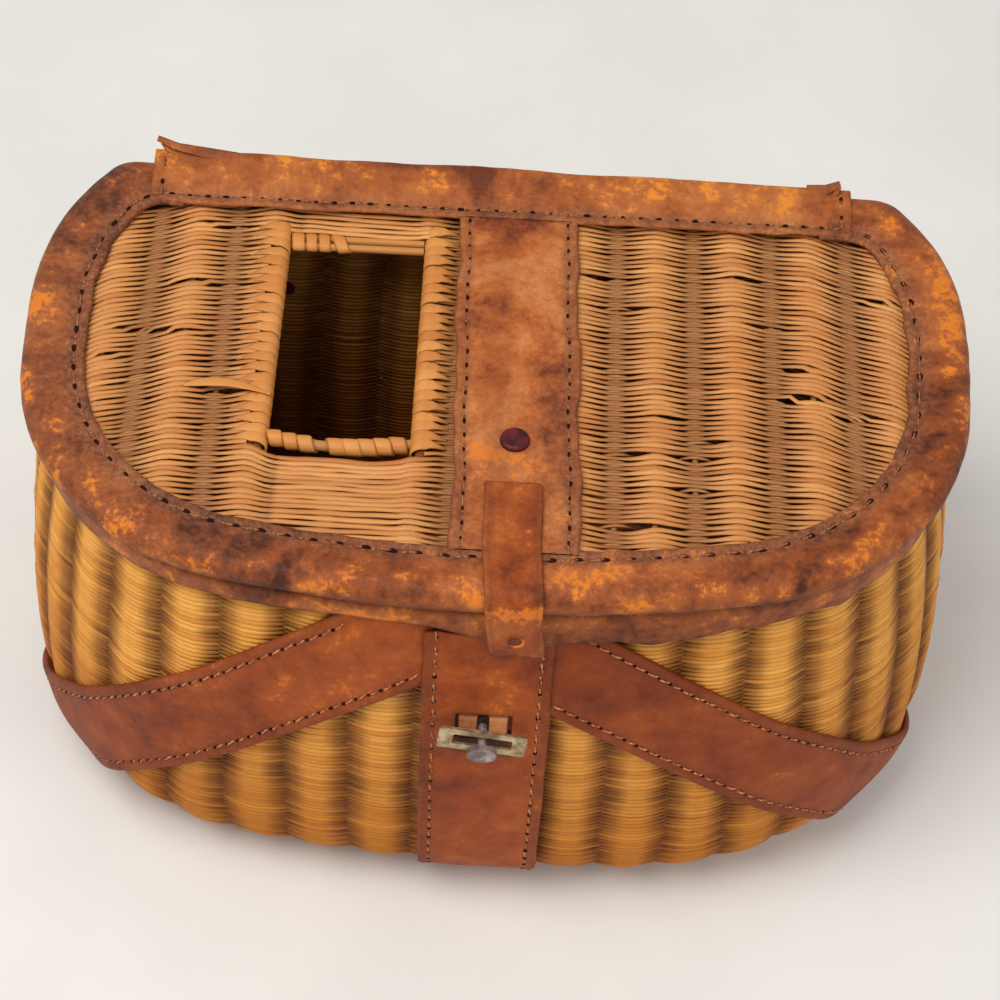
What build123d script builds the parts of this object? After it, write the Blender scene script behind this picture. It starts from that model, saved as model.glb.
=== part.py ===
from build123d import *
import math
import os

# Wicker fishing creel with a leather-bound lid.
# Millimetres. +X right, -Y front, +Z up. The origin is on the table, under the middle of the whole creel.

# Lid plan: five tangent arcs a side, closed by a straight back
lid_width = 370.0
lid_depth = 217.0
widest_from_front = 140.0
front_corner_radius = 104.6
side_radius = 423.0
side_turn = 5.0
back_side_radius = 115.0
back_corner_radius = 14.0

# Heights above the table
mouth_top = 188.8
lid_gap = 0.7
seat_gap = 0.2
body_gap = 0.5
lid_thickness = 13.5

# Basket wall: how far it stands outside (+) or inside (-) the lid's plan
wall_thickness = 7.0
floor_thickness = 9.0
inner_foot_step = 3.0
base_swell = -24.0
belly_height = 46.0
belly_swell = 9.0
wall_top_swell = -6.0
foot_levels = 4
upper_levels = 5

# Ribs of the weave: one bulge between each two stakes, high and low by turns on the lid
wall_ribs = 40
wall_furrow = 3.0
lid_rib_pitch = 15.5
lid_furrow = 2.9
lid_rib_step = 1.0

# Mouth hoop and the leather folded over it
hoop_height = 6.2
leather = 2.3
rim_band_height = 12.5

# Leather on the front
panel_centre = 2.0
panel_width = 49.5
panel_leather = 2.8
leather_bottom = 3.0
band_width = 43.3
band_slope_across = 0.75
band_slope_back = 0.6
left_band_height = 194.0
right_band_height = 183.0

# Lid weave, hoop and binding
binding_width = 23.0
roll_width = 13.0
roll_radius = 5.0
hoop_edge_radius = 2.0
lid_hoop_seat = 1.4
weave_thickness = 7.4
lid_hoop_height = 9.2
lid_leather = 2.0

# Centre strap, its rivet and the latch strap
strap_centre = 8.0
strap_width = 48.4
strap_leather = 2.5
rivet_from_front = 74.8
rivet_head_radius = 5.7
rivet_head_height = 2.0
rivet_dome = 0.8
rivet_shank_radius = 2.0
burr_radius = 4.5
burr_thickness = 1.2
rivet_peen_radius = 2.8
rivet_peen_thickness = 0.8
latch_strap_width = 22.0
latch_strap_leather = 2.0
slit_from_front = 54.0
tail_leather = 1.2
tail_past_rivet = 8.0
tongue_axis_from_front = 13.0
tongue_bottom = 172.0
tongue_lean = 2.0
tongue_hole_radius = 2.6
tongue_hole_up = 9.0

# Fish hole in the lid
hole_width = 54.0
hole_length = 99.0
hole_centre = -59.0
hole_from_front = 75.5
side_wrap_width = 8.4
bar_wrap_width = 7.0
stake_radius = 2.1
stick_radius = 1.6
stick_pitch = 4.2

# Hinge strip along the back
strip_left = -145.0
strip_right = 142.0
strip_on_back = 11.5

# Latch: turning stud, its plates and the loose slotted plate
latch_height = 128.0
stud_centre = 1.5
window_width = 22.0
window_height = 14.0
lining_margin = 5.0
lining_leather = 1.2
post_radius = 1.6
post_gap = 0.08
flat_gap = 0.6
stud_reach = 15.0
head_length = 11.5
head_width = 7.6
head_thickness = 2.4
stud_plate_radius = 5.0
stud_plate_thickness = 0.8
stud_washer_radius = 6.0
stud_washer_thickness = 1.2
stud_peen_radius = 3.0
stud_peen_thickness = 1.4
plate_length = 34.0
plate_height = 11.0
plate_thickness = 1.2
plate_slot_length = 23.0
plate_slot_height = 5.4
plate_stand_off = 7.0
plate_tilt = 7.0
plate_corner = 1.0

# Leather loops for the harness, on the back
loop_spacing = 230.0
loop_height = 140.0
loop_strap_width = 22.0
loop_opening = 30.0
loop_depth = 7.5
loop_foot = 12.0
loop_corner = 1.8
loop_rivet_radius = 4.0
loop_rivet_head = 1.5
loop_shank_radius = 1.5
loop_peen_radius = 3.2
loop_peen_thickness = 1.0
fastener_gap = 0.15

# Places worked out from the sizes above
lid_bottom = mouth_top + lid_gap
lid_top = lid_bottom + lid_thickness
lid_middle = (lid_bottom + lid_top) / 2
weave_top = lid_middle + weave_thickness / 2
weave_bottom = lid_middle - weave_thickness / 2
wall_top = mouth_top - leather - seat_gap - hoop_height - seat_gap
rim_band_bottom = mouth_top - rim_band_height
upper_height = wall_top - belly_height


def wall_swell(height):
    # The wall's profile: a quarter ellipse up to the belly, a parabola from there to the mouth
    if height < belly_height:
        below = 1 - height / belly_height
        return base_swell + (belly_swell - base_swell) * math.sqrt(1 - below**2)
    above = (height - belly_height) / upper_height
    return belly_swell + (wall_top_swell - belly_swell) * above**2


# The wall leans back at the latch, by the slope of the parabola there
latch_swell = wall_swell(latch_height)
latch_slope = 2 * (belly_swell - wall_top_swell) * (latch_height - belly_height) / upper_height**2
latch_lean = math.atan(latch_slope)
lean_cos = math.cos(latch_lean)
lean_sin = math.sin(latch_lean)
wall_inset_back = 2 * leather + 2 * seat_gap
panel_face = seat_gap + panel_leather
stud_face = panel_face + stud_reach
reach_front = latch_swell + stud_face * lean_cos + head_width / 2 * lean_sin
loop_reach = seat_gap + loop_depth + leather
reach_back = loop_reach - wall_inset_back
total_depth = reach_front + lid_depth + reach_back
lid_front = reach_front - total_depth / 2
lid_back = lid_front + lid_depth
wall_back = lid_back - wall_inset_back
side_y = lid_front + widest_from_front
foot_heights = [belly_height * (step / foot_levels) ** 2 for step in range(foot_levels)]
upper_heights = [belly_height + upper_height * step / upper_levels for step in range(upper_levels + 1)]
wall_levels = [(height, wall_swell(height)) for height in foot_heights + upper_heights]
inner_floor_swell = wall_swell(floor_thickness) - inner_foot_step
inside_levels = [(floor_thickness, inner_floor_swell)] + wall_levels[foot_levels:]

# The front arc's radius and turn follow from its neighbours
side_centre_x = lid_width / 2 - side_radius
corner_shift = side_radius - front_corner_radius
corner_x = side_centre_x + corner_shift * math.cos(math.radians(side_turn))
corner_from_front = widest_from_front - corner_shift * math.sin(math.radians(side_turn))
front_radius = (corner_x**2 + corner_from_front**2 - front_corner_radius**2) / (
    2 * (corner_from_front - front_corner_radius)
)
front_turn = math.degrees(math.asin(corner_x / (front_radius - front_corner_radius)))
corner_turn = 90 - side_turn - front_turn

far = 2 * lid_width

os.makedirs("parts", exist_ok=True)


def around(middle, size):
    # The two ends of a size about its middle
    return (middle - size / 2, middle + size / 2)


def save(piece, name):
    piece.part.label = name
    export_step(piece.part, f"parts/{name}.step")


def half_plan(grow, back_y):
    # Right half of the lid's plan grown by an offset: five arcs and half of its straight back
    reach = back_y - back_corner_radius - side_y
    back_turn = math.degrees(math.asin(reach / (back_side_radius + grow - back_corner_radius)))
    front = JernArc(
        start=(0, lid_front - grow), tangent=(1, 0), radius=front_radius + grow, arc_size=front_turn
    )
    corner = JernArc(
        start=front @ 1, tangent=front % 1, radius=front_corner_radius + grow, arc_size=corner_turn
    )
    side = JernArc(start=corner @ 1, tangent=corner % 1, radius=side_radius + grow, arc_size=side_turn)
    back = JernArc(start=side @ 1, tangent=side % 1, radius=back_side_radius + grow, arc_size=back_turn)
    turn = JernArc(start=back @ 1, tangent=back % 1, radius=back_corner_radius, arc_size=90 - back_turn)
    return [front, corner, side, back, turn, Line(turn @ 1, (0, back_y))]


def draw_plan(grow, back_y, mode=Mode.ADD):
    # The whole plan grown by an offset, with its straight back at back_y
    with BuildLine() as edge:
        half_plan(grow, back_y)
        mirror(about=Plane.YZ)
    make_face(edge.edges(), mode=mode)


def add_ring(outer, inner, back, z, mode=Mode.ADD):
    # A ring of the lid's plan between two offsets; back is where an offset of 0 has its straight back
    with BuildSketch(Plane.XY.offset(z[0])) as ring:
        draw_plan(outer, back + outer)
        draw_plan(inner, back + inner, mode=Mode.SUBTRACT)
    extrude(ring.sketch, amount=z[1] - z[0], mode=mode)


def add_wall(levels, grow, back_y, mode=Mode.ADD):
    # The belly-shaped body through its levels, grown by an offset
    sections = []
    for level, swell in levels:
        with BuildSketch(Plane.XY.offset(level)) as section:
            draw_plan(swell + grow, back_y)
        sections.append(section.sketch)
    loft(sections, mode=mode)


# Lengths of the plan's edges where the wall stands under them
edge_lengths = [edge.length for edge in half_plan(0, wall_back)]
rib_pitch = 2 * sum(edge_lengths) / wall_ribs


def rib_places(grow, back_y, shift):
    # Points round the plan, one for each rib, from the middle of the front to the right and round
    edges = half_plan(grow, back_y)
    points = []
    for rib in range(wall_ribs):
        place = (rib + shift) * rib_pitch
        side = 1 if place <= sum(edge_lengths) else -1
        place = place if side == 1 else 2 * sum(edge_lengths) - place
        index = 0
        while index < len(edges) - 1 and place > edge_lengths[index]:
            place -= edge_lengths[index]
            index += 1
        point = edges[index] @ (place / edge_lengths[index])
        points.append((side * point.X, point.Y))
    return points


def add_bar(start, axis, radius, length, mode=Mode.ADD):
    # A round bar from a point along an axis
    with BuildSketch(Plane(origin=start, z_dir=axis)) as disc:
        Circle(radius)
    extrude(disc.sketch, amount=length, mode=mode)


def add_block(x, y, z, mode=Mode.ADD):
    # A block between two places on each axis
    with BuildSketch(Plane.XY.offset(z[0])) as foot:
        with Locations(((x[0] + x[1]) / 2, (y[0] + y[1]) / 2)):
            Rectangle(x[1] - x[0], y[1] - y[0])
    extrude(foot.sketch, amount=z[1] - z[0], mode=mode)


def wall_skin(inside, outside, x, z):
    # A patch of skin on the front of the wall, between two offsets
    with BuildPart() as skin:
        add_wall(wall_levels, outside, wall_back + outside)
        add_block(x, (-far, side_y), z, mode=Mode.INTERSECT)
        add_wall(wall_levels, inside, wall_back + inside, mode=Mode.SUBTRACT)
    return skin.part


# Latch plane on the wall, its normal square to the leaning wall
latch_plane = Plane(
    origin=(stud_centre, lid_front - latch_swell, latch_height),
    x_dir=(1, 0, 0),
    z_dir=(0, -lean_cos, lean_sin),
)


def add_latch_disc(radius, start, end, mode=Mode.ADD):
    # A disc about the stud's axis, between two distances out from the wall
    with BuildSketch(latch_plane.offset(start)) as disc:
        Circle(radius)
    extrude(disc.sketch, amount=end - start, mode=mode)


# Middles of the loops' feet along the back
loop_middles = (-loop_spacing / 2, loop_spacing / 2)
foot_shift = loop_opening / 2 + leather + loop_foot / 2
rivet_places = [middle + shift for middle in loop_middles for shift in (-foot_shift, foot_shift)]

# Woven basket: floor and wall in one, with a rib between each two stakes
rib_levels = []
for level, swell in wall_levels:
    crests = rib_places(swell, wall_back, 0.5)
    furrows = rib_places(swell - wall_furrow, wall_back - wall_furrow, 0)
    rib_levels.append((level, list(zip(furrows, crests, furrows[1:] + furrows[:1]))))
with BuildPart() as basket_weave:
    rib_sections = []
    for level, ribs in rib_levels:
        with BuildSketch(Plane.XY.offset(level)) as rib_section:
            with BuildLine():
                for start, crest, end in ribs:
                    ThreePointArc(start, crest, end)
            make_face()
        rib_sections.append(rib_section.sketch)
    loft(rib_sections)
    add_wall(inside_levels, -wall_thickness, wall_back - wall_thickness, mode=Mode.SUBTRACT)
    add_latch_disc(post_radius + post_gap, -2 * wall_thickness, wall_thickness, mode=Mode.SUBTRACT)
    for place in rivet_places:
        add_bar(
            (place, wall_back + wall_thickness, loop_height),
            (0, -1, 0),
            loop_shank_radius + fastener_gap,
            3 * wall_thickness,
            mode=Mode.SUBTRACT,
        )
save(basket_weave, "basket_weave")

# Hoop that stiffens the mouth
hoop_bottom = wall_top + seat_gap
with BuildPart() as mouth_hoop:
    add_ring(
        wall_top_swell - seat_gap,
        wall_top_swell - wall_thickness + seat_gap,
        wall_back - wall_top_swell,
        (hoop_bottom, hoop_bottom + hoop_height),
    )
    fillet(mouth_hoop.edges().filter_by(GeomType.LINE, reverse=True), hoop_edge_radius)
save(mouth_hoop, "mouth_hoop")

# Leather folded over the mouth: a skin on the wall, an upright inside and the fold on top
fold_outer = wall_top_swell + seat_gap + leather
fold_inner = wall_top_swell - wall_thickness - seat_gap - leather
fold_back = wall_back - wall_top_swell
with BuildPart() as rim_band:
    add_wall(wall_levels, seat_gap + leather, wall_back + seat_gap + leather)
    add_wall(wall_levels, seat_gap, wall_back + seat_gap, mode=Mode.SUBTRACT)
    add_block((-far, far), (-far, far), (rim_band_bottom, wall_top), mode=Mode.INTERSECT)
    add_ring(fold_outer, fold_outer - leather, fold_back, (wall_top, mouth_top))
    add_ring(fold_outer, fold_inner, fold_back, (mouth_top - leather, mouth_top))
    add_ring(fold_inner + leather, fold_inner, fold_back, (rim_band_bottom, mouth_top))
save(rim_band, "rim_band")

# Leather lining behind the latch window
window_x = around(stud_centre, window_width)
window_z = around(latch_height, window_height)
lining_x = around(stud_centre, window_width + 2 * lining_margin)
lining_z = around(latch_height, window_height + 2 * lining_margin)
lining_face = seat_gap + lining_leather
lining_patch = wall_skin(seat_gap, lining_face, lining_x, lining_z)
with BuildPart() as panel_lining:
    add(lining_patch)
    add_latch_disc(post_radius + post_gap, -panel_face, panel_face, mode=Mode.SUBTRACT)
save(panel_lining, "panel_lining")

# Front panel with its window and a pocket for the lining
leather_z = (leather_bottom, rim_band_bottom - seat_gap)
panel_x = around(panel_centre, panel_width)
panel_patch = wall_skin(seat_gap, panel_face, panel_x, leather_z)
lining_pocket = wall_skin(
    0,
    lining_face + seat_gap,
    (lining_x[0] - seat_gap, lining_x[1] + seat_gap),
    (lining_z[0] - seat_gap, lining_z[1] + seat_gap),
)
with BuildPart() as front_panel:
    add(panel_patch)
    add_block(window_x, (-far, side_y), window_z, mode=Mode.SUBTRACT)
    add(lining_pocket, mode=Mode.SUBTRACT)
save(front_panel, "front_panel")


def slanted_band(side, height, x):
    # A band down one side of the front, cut from the wall's skin by a slab that falls
    # away from the panel and towards the back
    slab_plane = Plane(
        origin=(0, lid_front, height), z_dir=(side * band_slope_across, band_slope_back, 1)
    )
    with BuildPart() as band:
        add(wall_skin(seat_gap, seat_gap + leather, x, leather_z))
        with BuildSketch(slab_plane):
            Rectangle(far, far)
        extrude(amount=band_width / 2, both=True, mode=Mode.INTERSECT)
    return band


left_band = slanted_band(-1, left_band_height, (-far, panel_x[0] - seat_gap))
save(left_band, "left_band")
right_band = slanted_band(1, right_band_height, (panel_x[1] + seat_gap, far))
save(right_band, "right_band")

# Turning stud: peened end, post and oval head in one piece
washer_face = -wall_thickness - flat_gap
washer_back = washer_face - stud_washer_thickness
with BuildPart() as turn_stud:
    add_latch_disc(stud_peen_radius, washer_back - seat_gap - stud_peen_thickness, washer_back - seat_gap)
    add_latch_disc(post_radius, washer_back - seat_gap, stud_face - head_thickness)
    with BuildSketch(latch_plane.offset(stud_face - head_thickness)):
        Ellipse(head_length / 2, head_width / 2)
    extrude(amount=head_thickness)
save(turn_stud, "turn_stud")

# Washer inside the basket and plate in the window, which guide the post
with BuildPart() as stud_washer:
    add_latch_disc(stud_washer_radius, washer_back, washer_face)
    add_latch_disc(post_radius + post_gap, washer_back, washer_face, mode=Mode.SUBTRACT)
save(stud_washer, "stud_washer")

stud_plate_back = lining_face + flat_gap
stud_plate_front = stud_plate_back + stud_plate_thickness
with BuildPart() as stud_plate:
    add_latch_disc(stud_plate_radius, stud_plate_back, stud_plate_front)
    add_latch_disc(post_radius + post_gap, stud_plate_back, stud_plate_front, mode=Mode.SUBTRACT)
save(stud_plate, "stud_plate")

# Slotted plate, loose on the post
with BuildPart() as hasp_plate:
    with BuildSketch(latch_plane.offset(panel_face + plate_stand_off)):
        RectangleRounded(plate_length, plate_height, plate_corner, rotation=-plate_tilt)
        RectangleRounded(
            plate_slot_length,
            plate_slot_height,
            plate_corner,
            rotation=-plate_tilt,
            mode=Mode.SUBTRACT,
        )
    extrude(amount=plate_thickness)
save(hasp_plate, "hasp_plate")


def harness_loop(middle):
    # A leather strap bent out from the back wall and riveted down at both feet
    face = wall_back + seat_gap
    inner = loop_opening / 2
    outer = inner + leather
    foot = outer + loop_foot
    with BuildPart() as loop:
        with BuildSketch(Plane.XY.offset(loop_height - loop_strap_width / 2)):
            with BuildLine():
                Polyline(
                    (middle, face + loop_depth),
                    (middle + inner, face + loop_depth),
                    (middle + inner, face),
                    (middle + foot, face),
                    (middle + foot, face + leather),
                    (middle + outer, face + leather),
                    (middle + outer, face + loop_depth + leather),
                    (middle, face + loop_depth + leather),
                )
                mirror(about=Plane.YZ.offset(middle))
            make_face()
        extrude(amount=loop_strap_width)
        bends = loop.edges().filter_by(Axis.Z)
        bends = bends.filter_by_position(Axis.X, middle - outer - leather, middle + outer + leather)
        bends = bends.filter_by_position(Axis.Y, face + leather / 2, far)
        fillet(bends, loop_corner)
        for shift in (-foot_shift, foot_shift):
            add_bar(
                (middle + shift, face - leather, loop_height),
                (0, 1, 0),
                loop_shank_radius + fastener_gap,
                3 * leather,
                mode=Mode.SUBTRACT,
            )
    return loop


save(harness_loop(loop_middles[0]), "harness_loop_left")
save(harness_loop(loop_middles[1]), "harness_loop_right")

# Loop rivets: head outside, shank through leather and wall, peened inside
with BuildPart() as loop_rivets:
    head_y = wall_back + 2 * seat_gap + leather
    peen_y = wall_back - wall_thickness - seat_gap
    for place in rivet_places:
        add_bar((place, head_y, loop_height), (0, 1, 0), loop_rivet_radius, loop_rivet_head)
        add_bar((place, peen_y, loop_height), (0, 1, 0), loop_shank_radius, head_y - peen_y)
        add_bar((place, peen_y, loop_height), (0, -1, 0), loop_peen_radius, loop_peen_thickness)
save(loop_rivets, "loop_rivets")

# Hinge strip: its part on the back of the basket
strip_x = (strip_left, strip_right)
with BuildPart() as hinge_strip_back:
    add_block(strip_x, (lid_back - leather, lid_back), (mouth_top - strip_on_back, mouth_top))
save(hinge_strip_back, "hinge_strip_back")

# Lid hoop and the weave inside it
lid_plan_back = lid_back - leather - seat_gap
hoop_outer = -lid_leather - seat_gap
hoop_inner = -roll_width + lid_hoop_seat
weave_edge = hoop_inner - seat_gap
lid_hoop_z = around(lid_middle, lid_hoop_height)
with BuildPart() as lid_hoop:
    add_ring(hoop_outer, hoop_inner, lid_plan_back, lid_hoop_z)
    fillet(lid_hoop.edges(), hoop_edge_radius)
save(lid_hoop, "lid_hoop")

hole_x = around(hole_centre, hole_width)
hole_y = (lid_front + hole_from_front, lid_front + hole_from_front + hole_length)
frame_x = (hole_x[0] - side_wrap_width, hole_x[1] + side_wrap_width)
frame_y = (hole_y[0] - bar_wrap_width, hole_y[1] + 2 * stick_pitch)
rivet_y = lid_front + rivet_from_front
weave_z = (weave_bottom, weave_top)
lid_ribs = math.ceil(lid_width / 2 / lid_rib_pitch)
with BuildPart() as lid_weave:
    with BuildSketch(Plane.XY.offset(weave_bottom)):
        draw_plan(weave_edge, lid_plan_back + weave_edge)
    extrude(amount=weave_thickness)
    with BuildSketch(Plane.XZ) as rib_profile:
        with BuildLine():
            furrow_z = weave_top - lid_furrow
            half_ribs = (lid_ribs + 0.5) * lid_rib_pitch
            for rib in range(-lid_ribs, lid_ribs + 1):
                crest_z = weave_top - lid_rib_step * (rib % 2)
                ThreePointArc(
                    ((rib - 0.5) * lid_rib_pitch, furrow_z),
                    (rib * lid_rib_pitch, crest_z),
                    ((rib + 0.5) * lid_rib_pitch, furrow_z),
                )
            Polyline(
                (half_ribs, furrow_z),
                (half_ribs, weave_bottom),
                (-half_ribs, weave_bottom),
                (-half_ribs, furrow_z),
            )
        make_face()
    extrude(rib_profile.sketch, amount=lid_depth, both=True, mode=Mode.INTERSECT)
    add_block(
        (frame_x[0] - seat_gap, frame_x[1] + seat_gap),
        (frame_y[0] - seat_gap, frame_y[1] + seat_gap),
        weave_z,
        mode=Mode.SUBTRACT,
    )
    add_bar(
        (strap_centre, rivet_y, weave_bottom),
        (0, 0, 1),
        rivet_shank_radius + fastener_gap,
        weave_thickness,
        mode=Mode.SUBTRACT,
    )
save(lid_weave, "lid_weave")

# Leather binding: a roll over the hoop and two lips on the weave, open where the hinge strip is
lip_outer = -roll_width + lid_leather
lip_over = (weave_top + seat_gap, weave_top + seat_gap + lid_leather)
lip_under = (weave_bottom - seat_gap - lid_leather, weave_bottom - seat_gap)
strip_front = lid_plan_back - binding_width
with BuildPart() as lid_binding:
    with BuildSketch(Plane.XY.offset(lid_bottom)):
        draw_plan(0, lid_plan_back)
    extrude(amount=lid_thickness)
    fillet(lid_binding.faces().filter_by(Axis.Z).edges(), roll_radius)
    with BuildSketch(Plane.XY.offset(lid_bottom)):
        draw_plan(-roll_width, lid_plan_back - roll_width)
    extrude(amount=lid_thickness, mode=Mode.SUBTRACT)
    add_ring(lip_outer, -binding_width, lid_plan_back, lip_over)
    add_ring(lip_outer, -binding_width, lid_plan_back, lip_under)
    add_ring(
        hoop_outer + seat_gap,
        hoop_inner - seat_gap,
        lid_plan_back,
        (lid_hoop_z[0] - seat_gap, lid_hoop_z[1] + seat_gap),
        mode=Mode.SUBTRACT,
    )
    add_ring(
        hoop_inner,
        -roll_width - seat_gap,
        lid_plan_back,
        (weave_bottom - seat_gap, weave_top + seat_gap),
        mode=Mode.SUBTRACT,
    )
    add_block(
        (strip_left - seat_gap, strip_right + seat_gap),
        (strip_front - seat_gap, far),
        (lid_bottom, lid_top),
        mode=Mode.SUBTRACT,
    )
save(lid_binding, "lid_binding")

# Hinge strip: its part folded over the back of the lid
strip_over = (lid_hoop_z[1] + seat_gap, lid_hoop_z[1] + seat_gap + leather)
strip_under = (lid_bottom, lid_hoop_z[0] - seat_gap)
with BuildPart() as hinge_strip_lid:
    add_block(strip_x, (strip_front, lid_back), (lid_bottom, strip_over[1]))
    add_block(strip_x, (strip_front, lid_back - leather), (strip_under[1], strip_over[0]), mode=Mode.SUBTRACT)
save(hinge_strip_lid, "hinge_strip_lid")

# Centre strap: rivet hole, slit for the latch strap and a pocket below for its tail
strap_x = around(strap_centre, strap_width)
strap_y = (lid_front, strip_front - seat_gap)
strap_z = (weave_top + seat_gap, weave_top + seat_gap + strap_leather)
latch_strap_x = around(strap_centre, latch_strap_width)
slit_y = lid_front + slit_from_front
tail_z = (strap_z[0], strap_z[0] + tail_leather)
tail_end = rivet_y + tail_past_rivet
pocket_x = (latch_strap_x[0] - seat_gap, latch_strap_x[1] + seat_gap)
with BuildPart() as centre_strap:
    with BuildSketch(Plane.XY.offset(strap_z[0])):
        draw_plan(-binding_width - seat_gap, lid_plan_back)
    extrude(amount=strap_leather)
    add_block(strap_x, strap_y, strap_z, mode=Mode.INTERSECT)
    add_block(
        pocket_x,
        (slit_y - seat_gap, tail_end + seat_gap),
        (tail_z[0], tail_z[1] + seat_gap),
        mode=Mode.SUBTRACT,
    )
    add_block(pocket_x, (slit_y - seat_gap, slit_y + tail_leather + seat_gap), strap_z, mode=Mode.SUBTRACT)
    add_bar(
        (strap_centre, rivet_y, strap_z[0]),
        (0, 0, 1),
        rivet_shank_radius + fastener_gap,
        strap_leather,
        mode=Mode.SUBTRACT,
    )
save(centre_strap, "centre_strap")

# Latch strap on the lid: tail under the centre strap, up through its slit and on to the rim
root_z = (lid_top + body_gap, lid_top + body_gap + latch_strap_leather)
tongue_axis_y = lid_front + tongue_axis_from_front
with BuildPart() as latch_strap_root:
    add_block(latch_strap_x, (slit_y, tail_end), tail_z)
    add_block(latch_strap_x, (slit_y, slit_y + tail_leather), (tail_z[0], root_z[1]))
    add_block(latch_strap_x, (tongue_axis_y, slit_y + tail_leather), root_z)
    add_bar(
        (strap_centre, rivet_y, tail_z[0]),
        (0, 0, 1),
        rivet_shank_radius + fastener_gap,
        tail_leather,
        mode=Mode.SUBTRACT,
    )
save(latch_strap_root, "latch_strap_root")

# Hanging part of the latch strap: over the rim's roll and down the front
bend_radius = roll_radius + body_gap
bend_y = lid_front + roll_radius
bend_z = lid_top - roll_radius
tongue_drop = (bend_z - tongue_bottom) / math.cos(math.radians(tongue_lean))


def add_tongue_edge(radius):
    # One face of the hanging strap, from the axis forward, round the bend and down
    start = (tongue_axis_y - body_gap, bend_z + radius)
    flat = Line(start, (bend_y, bend_z + radius))
    bend = JernArc(start=flat @ 1, tangent=(-1, 0), radius=radius, arc_size=90 - tongue_lean)
    return flat, bend, Line(bend @ 1, bend @ 1 + tongue_drop * (bend % 1))


with BuildPart() as latch_tongue:
    with BuildSketch(Plane.YZ.offset(latch_strap_x[0])):
        with BuildLine():
            inner = add_tongue_edge(bend_radius)
            outer = add_tongue_edge(bend_radius + latch_strap_leather)
            Line(inner[0] @ 0, outer[0] @ 0)
            Line(inner[2] @ 1, outer[2] @ 1)
        make_face()
    extrude(amount=latch_strap_width)
    add_bar(
        (strap_centre, lid_front, tongue_bottom + tongue_hole_up),
        (0, -1, 0),
        tongue_hole_radius,
        lid_thickness,
        mode=Mode.SUBTRACT,
    )
save(latch_tongue, "latch_tongue")

# Strap rivet with a domed head, and the burr that it is peened over
burr_top = weave_bottom - seat_gap
burr_bottom = burr_top - burr_thickness
rivet_head_z = strap_z[1] + seat_gap
with BuildPart() as strap_rivet:
    add_bar((strap_centre, rivet_y, rivet_head_z), (0, 0, 1), rivet_head_radius, rivet_head_height)
    fillet(strap_rivet.edges().group_by(Axis.Z)[-1], rivet_head_height * rivet_dome)
    add_bar(
        (strap_centre, rivet_y, burr_bottom - seat_gap),
        (0, 0, 1),
        rivet_shank_radius,
        rivet_head_z - burr_bottom + seat_gap,
    )
    add_bar(
        (strap_centre, rivet_y, burr_bottom - seat_gap), (0, 0, -1), rivet_peen_radius, rivet_peen_thickness
    )
save(strap_rivet, "strap_rivet")

with BuildPart() as rivet_burr:
    add_bar((strap_centre, rivet_y, burr_bottom), (0, 0, 1), burr_radius, burr_thickness)
    add_bar(
        (strap_centre, rivet_y, burr_bottom),
        (0, 0, 1),
        rivet_shank_radius + fastener_gap,
        burr_thickness,
        mode=Mode.SUBTRACT,
    )
save(rivet_burr, "rivet_burr")


def rod(start, axis, radius, length, bore=0):
    # A rod, or a wrapping with a bore for its rod
    with BuildPart() as piece:
        add_bar(start, axis, radius, length)
        if bore:
            add_bar(start, axis, bore, length, mode=Mode.SUBTRACT)
    return piece


# Edges of the fish hole: a wrapped stake at each side, a wrapped bar in front, bare sticks behind
frame_length = frame_y[1] - frame_y[0]
side_wrap_radius = side_wrap_width / 2
side_starts = {
    "left": (hole_x[0] - side_wrap_radius, frame_y[0], lid_middle),
    "right": (hole_x[1] + side_wrap_radius, frame_y[0], lid_middle),
}
wrap_bore = stake_radius + seat_gap
for side, start in side_starts.items():
    save(rod(start, (0, 1, 0), stake_radius, frame_length), f"hole_stake_{side}")
    save(rod(start, (0, 1, 0), side_wrap_radius, frame_length, wrap_bore), f"hole_wrap_{side}")

bar_length = hole_width - 2 * seat_gap
bar_start = (hole_x[0] + seat_gap, hole_y[0] - bar_wrap_width / 2, lid_middle)
save(rod(bar_start, (1, 0, 0), stake_radius, bar_length), "hole_bar_front")
save(rod(bar_start, (1, 0, 0), bar_wrap_width / 2, bar_length, wrap_bore), "hole_wrap_front")

with BuildPart() as hole_sticks_back:
    for turn in (0.5, 1.5):
        add_bar(
            (hole_x[0] + seat_gap, hole_y[1] + turn * stick_pitch, lid_middle),
            (1, 0, 0),
            stick_radius,
            bar_length,
        )
save(hole_sticks_back, "hole_sticks_back")
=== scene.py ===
import math
import bmesh
import bpy
import numpy as np
from mathutils import Matrix, Vector


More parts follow.
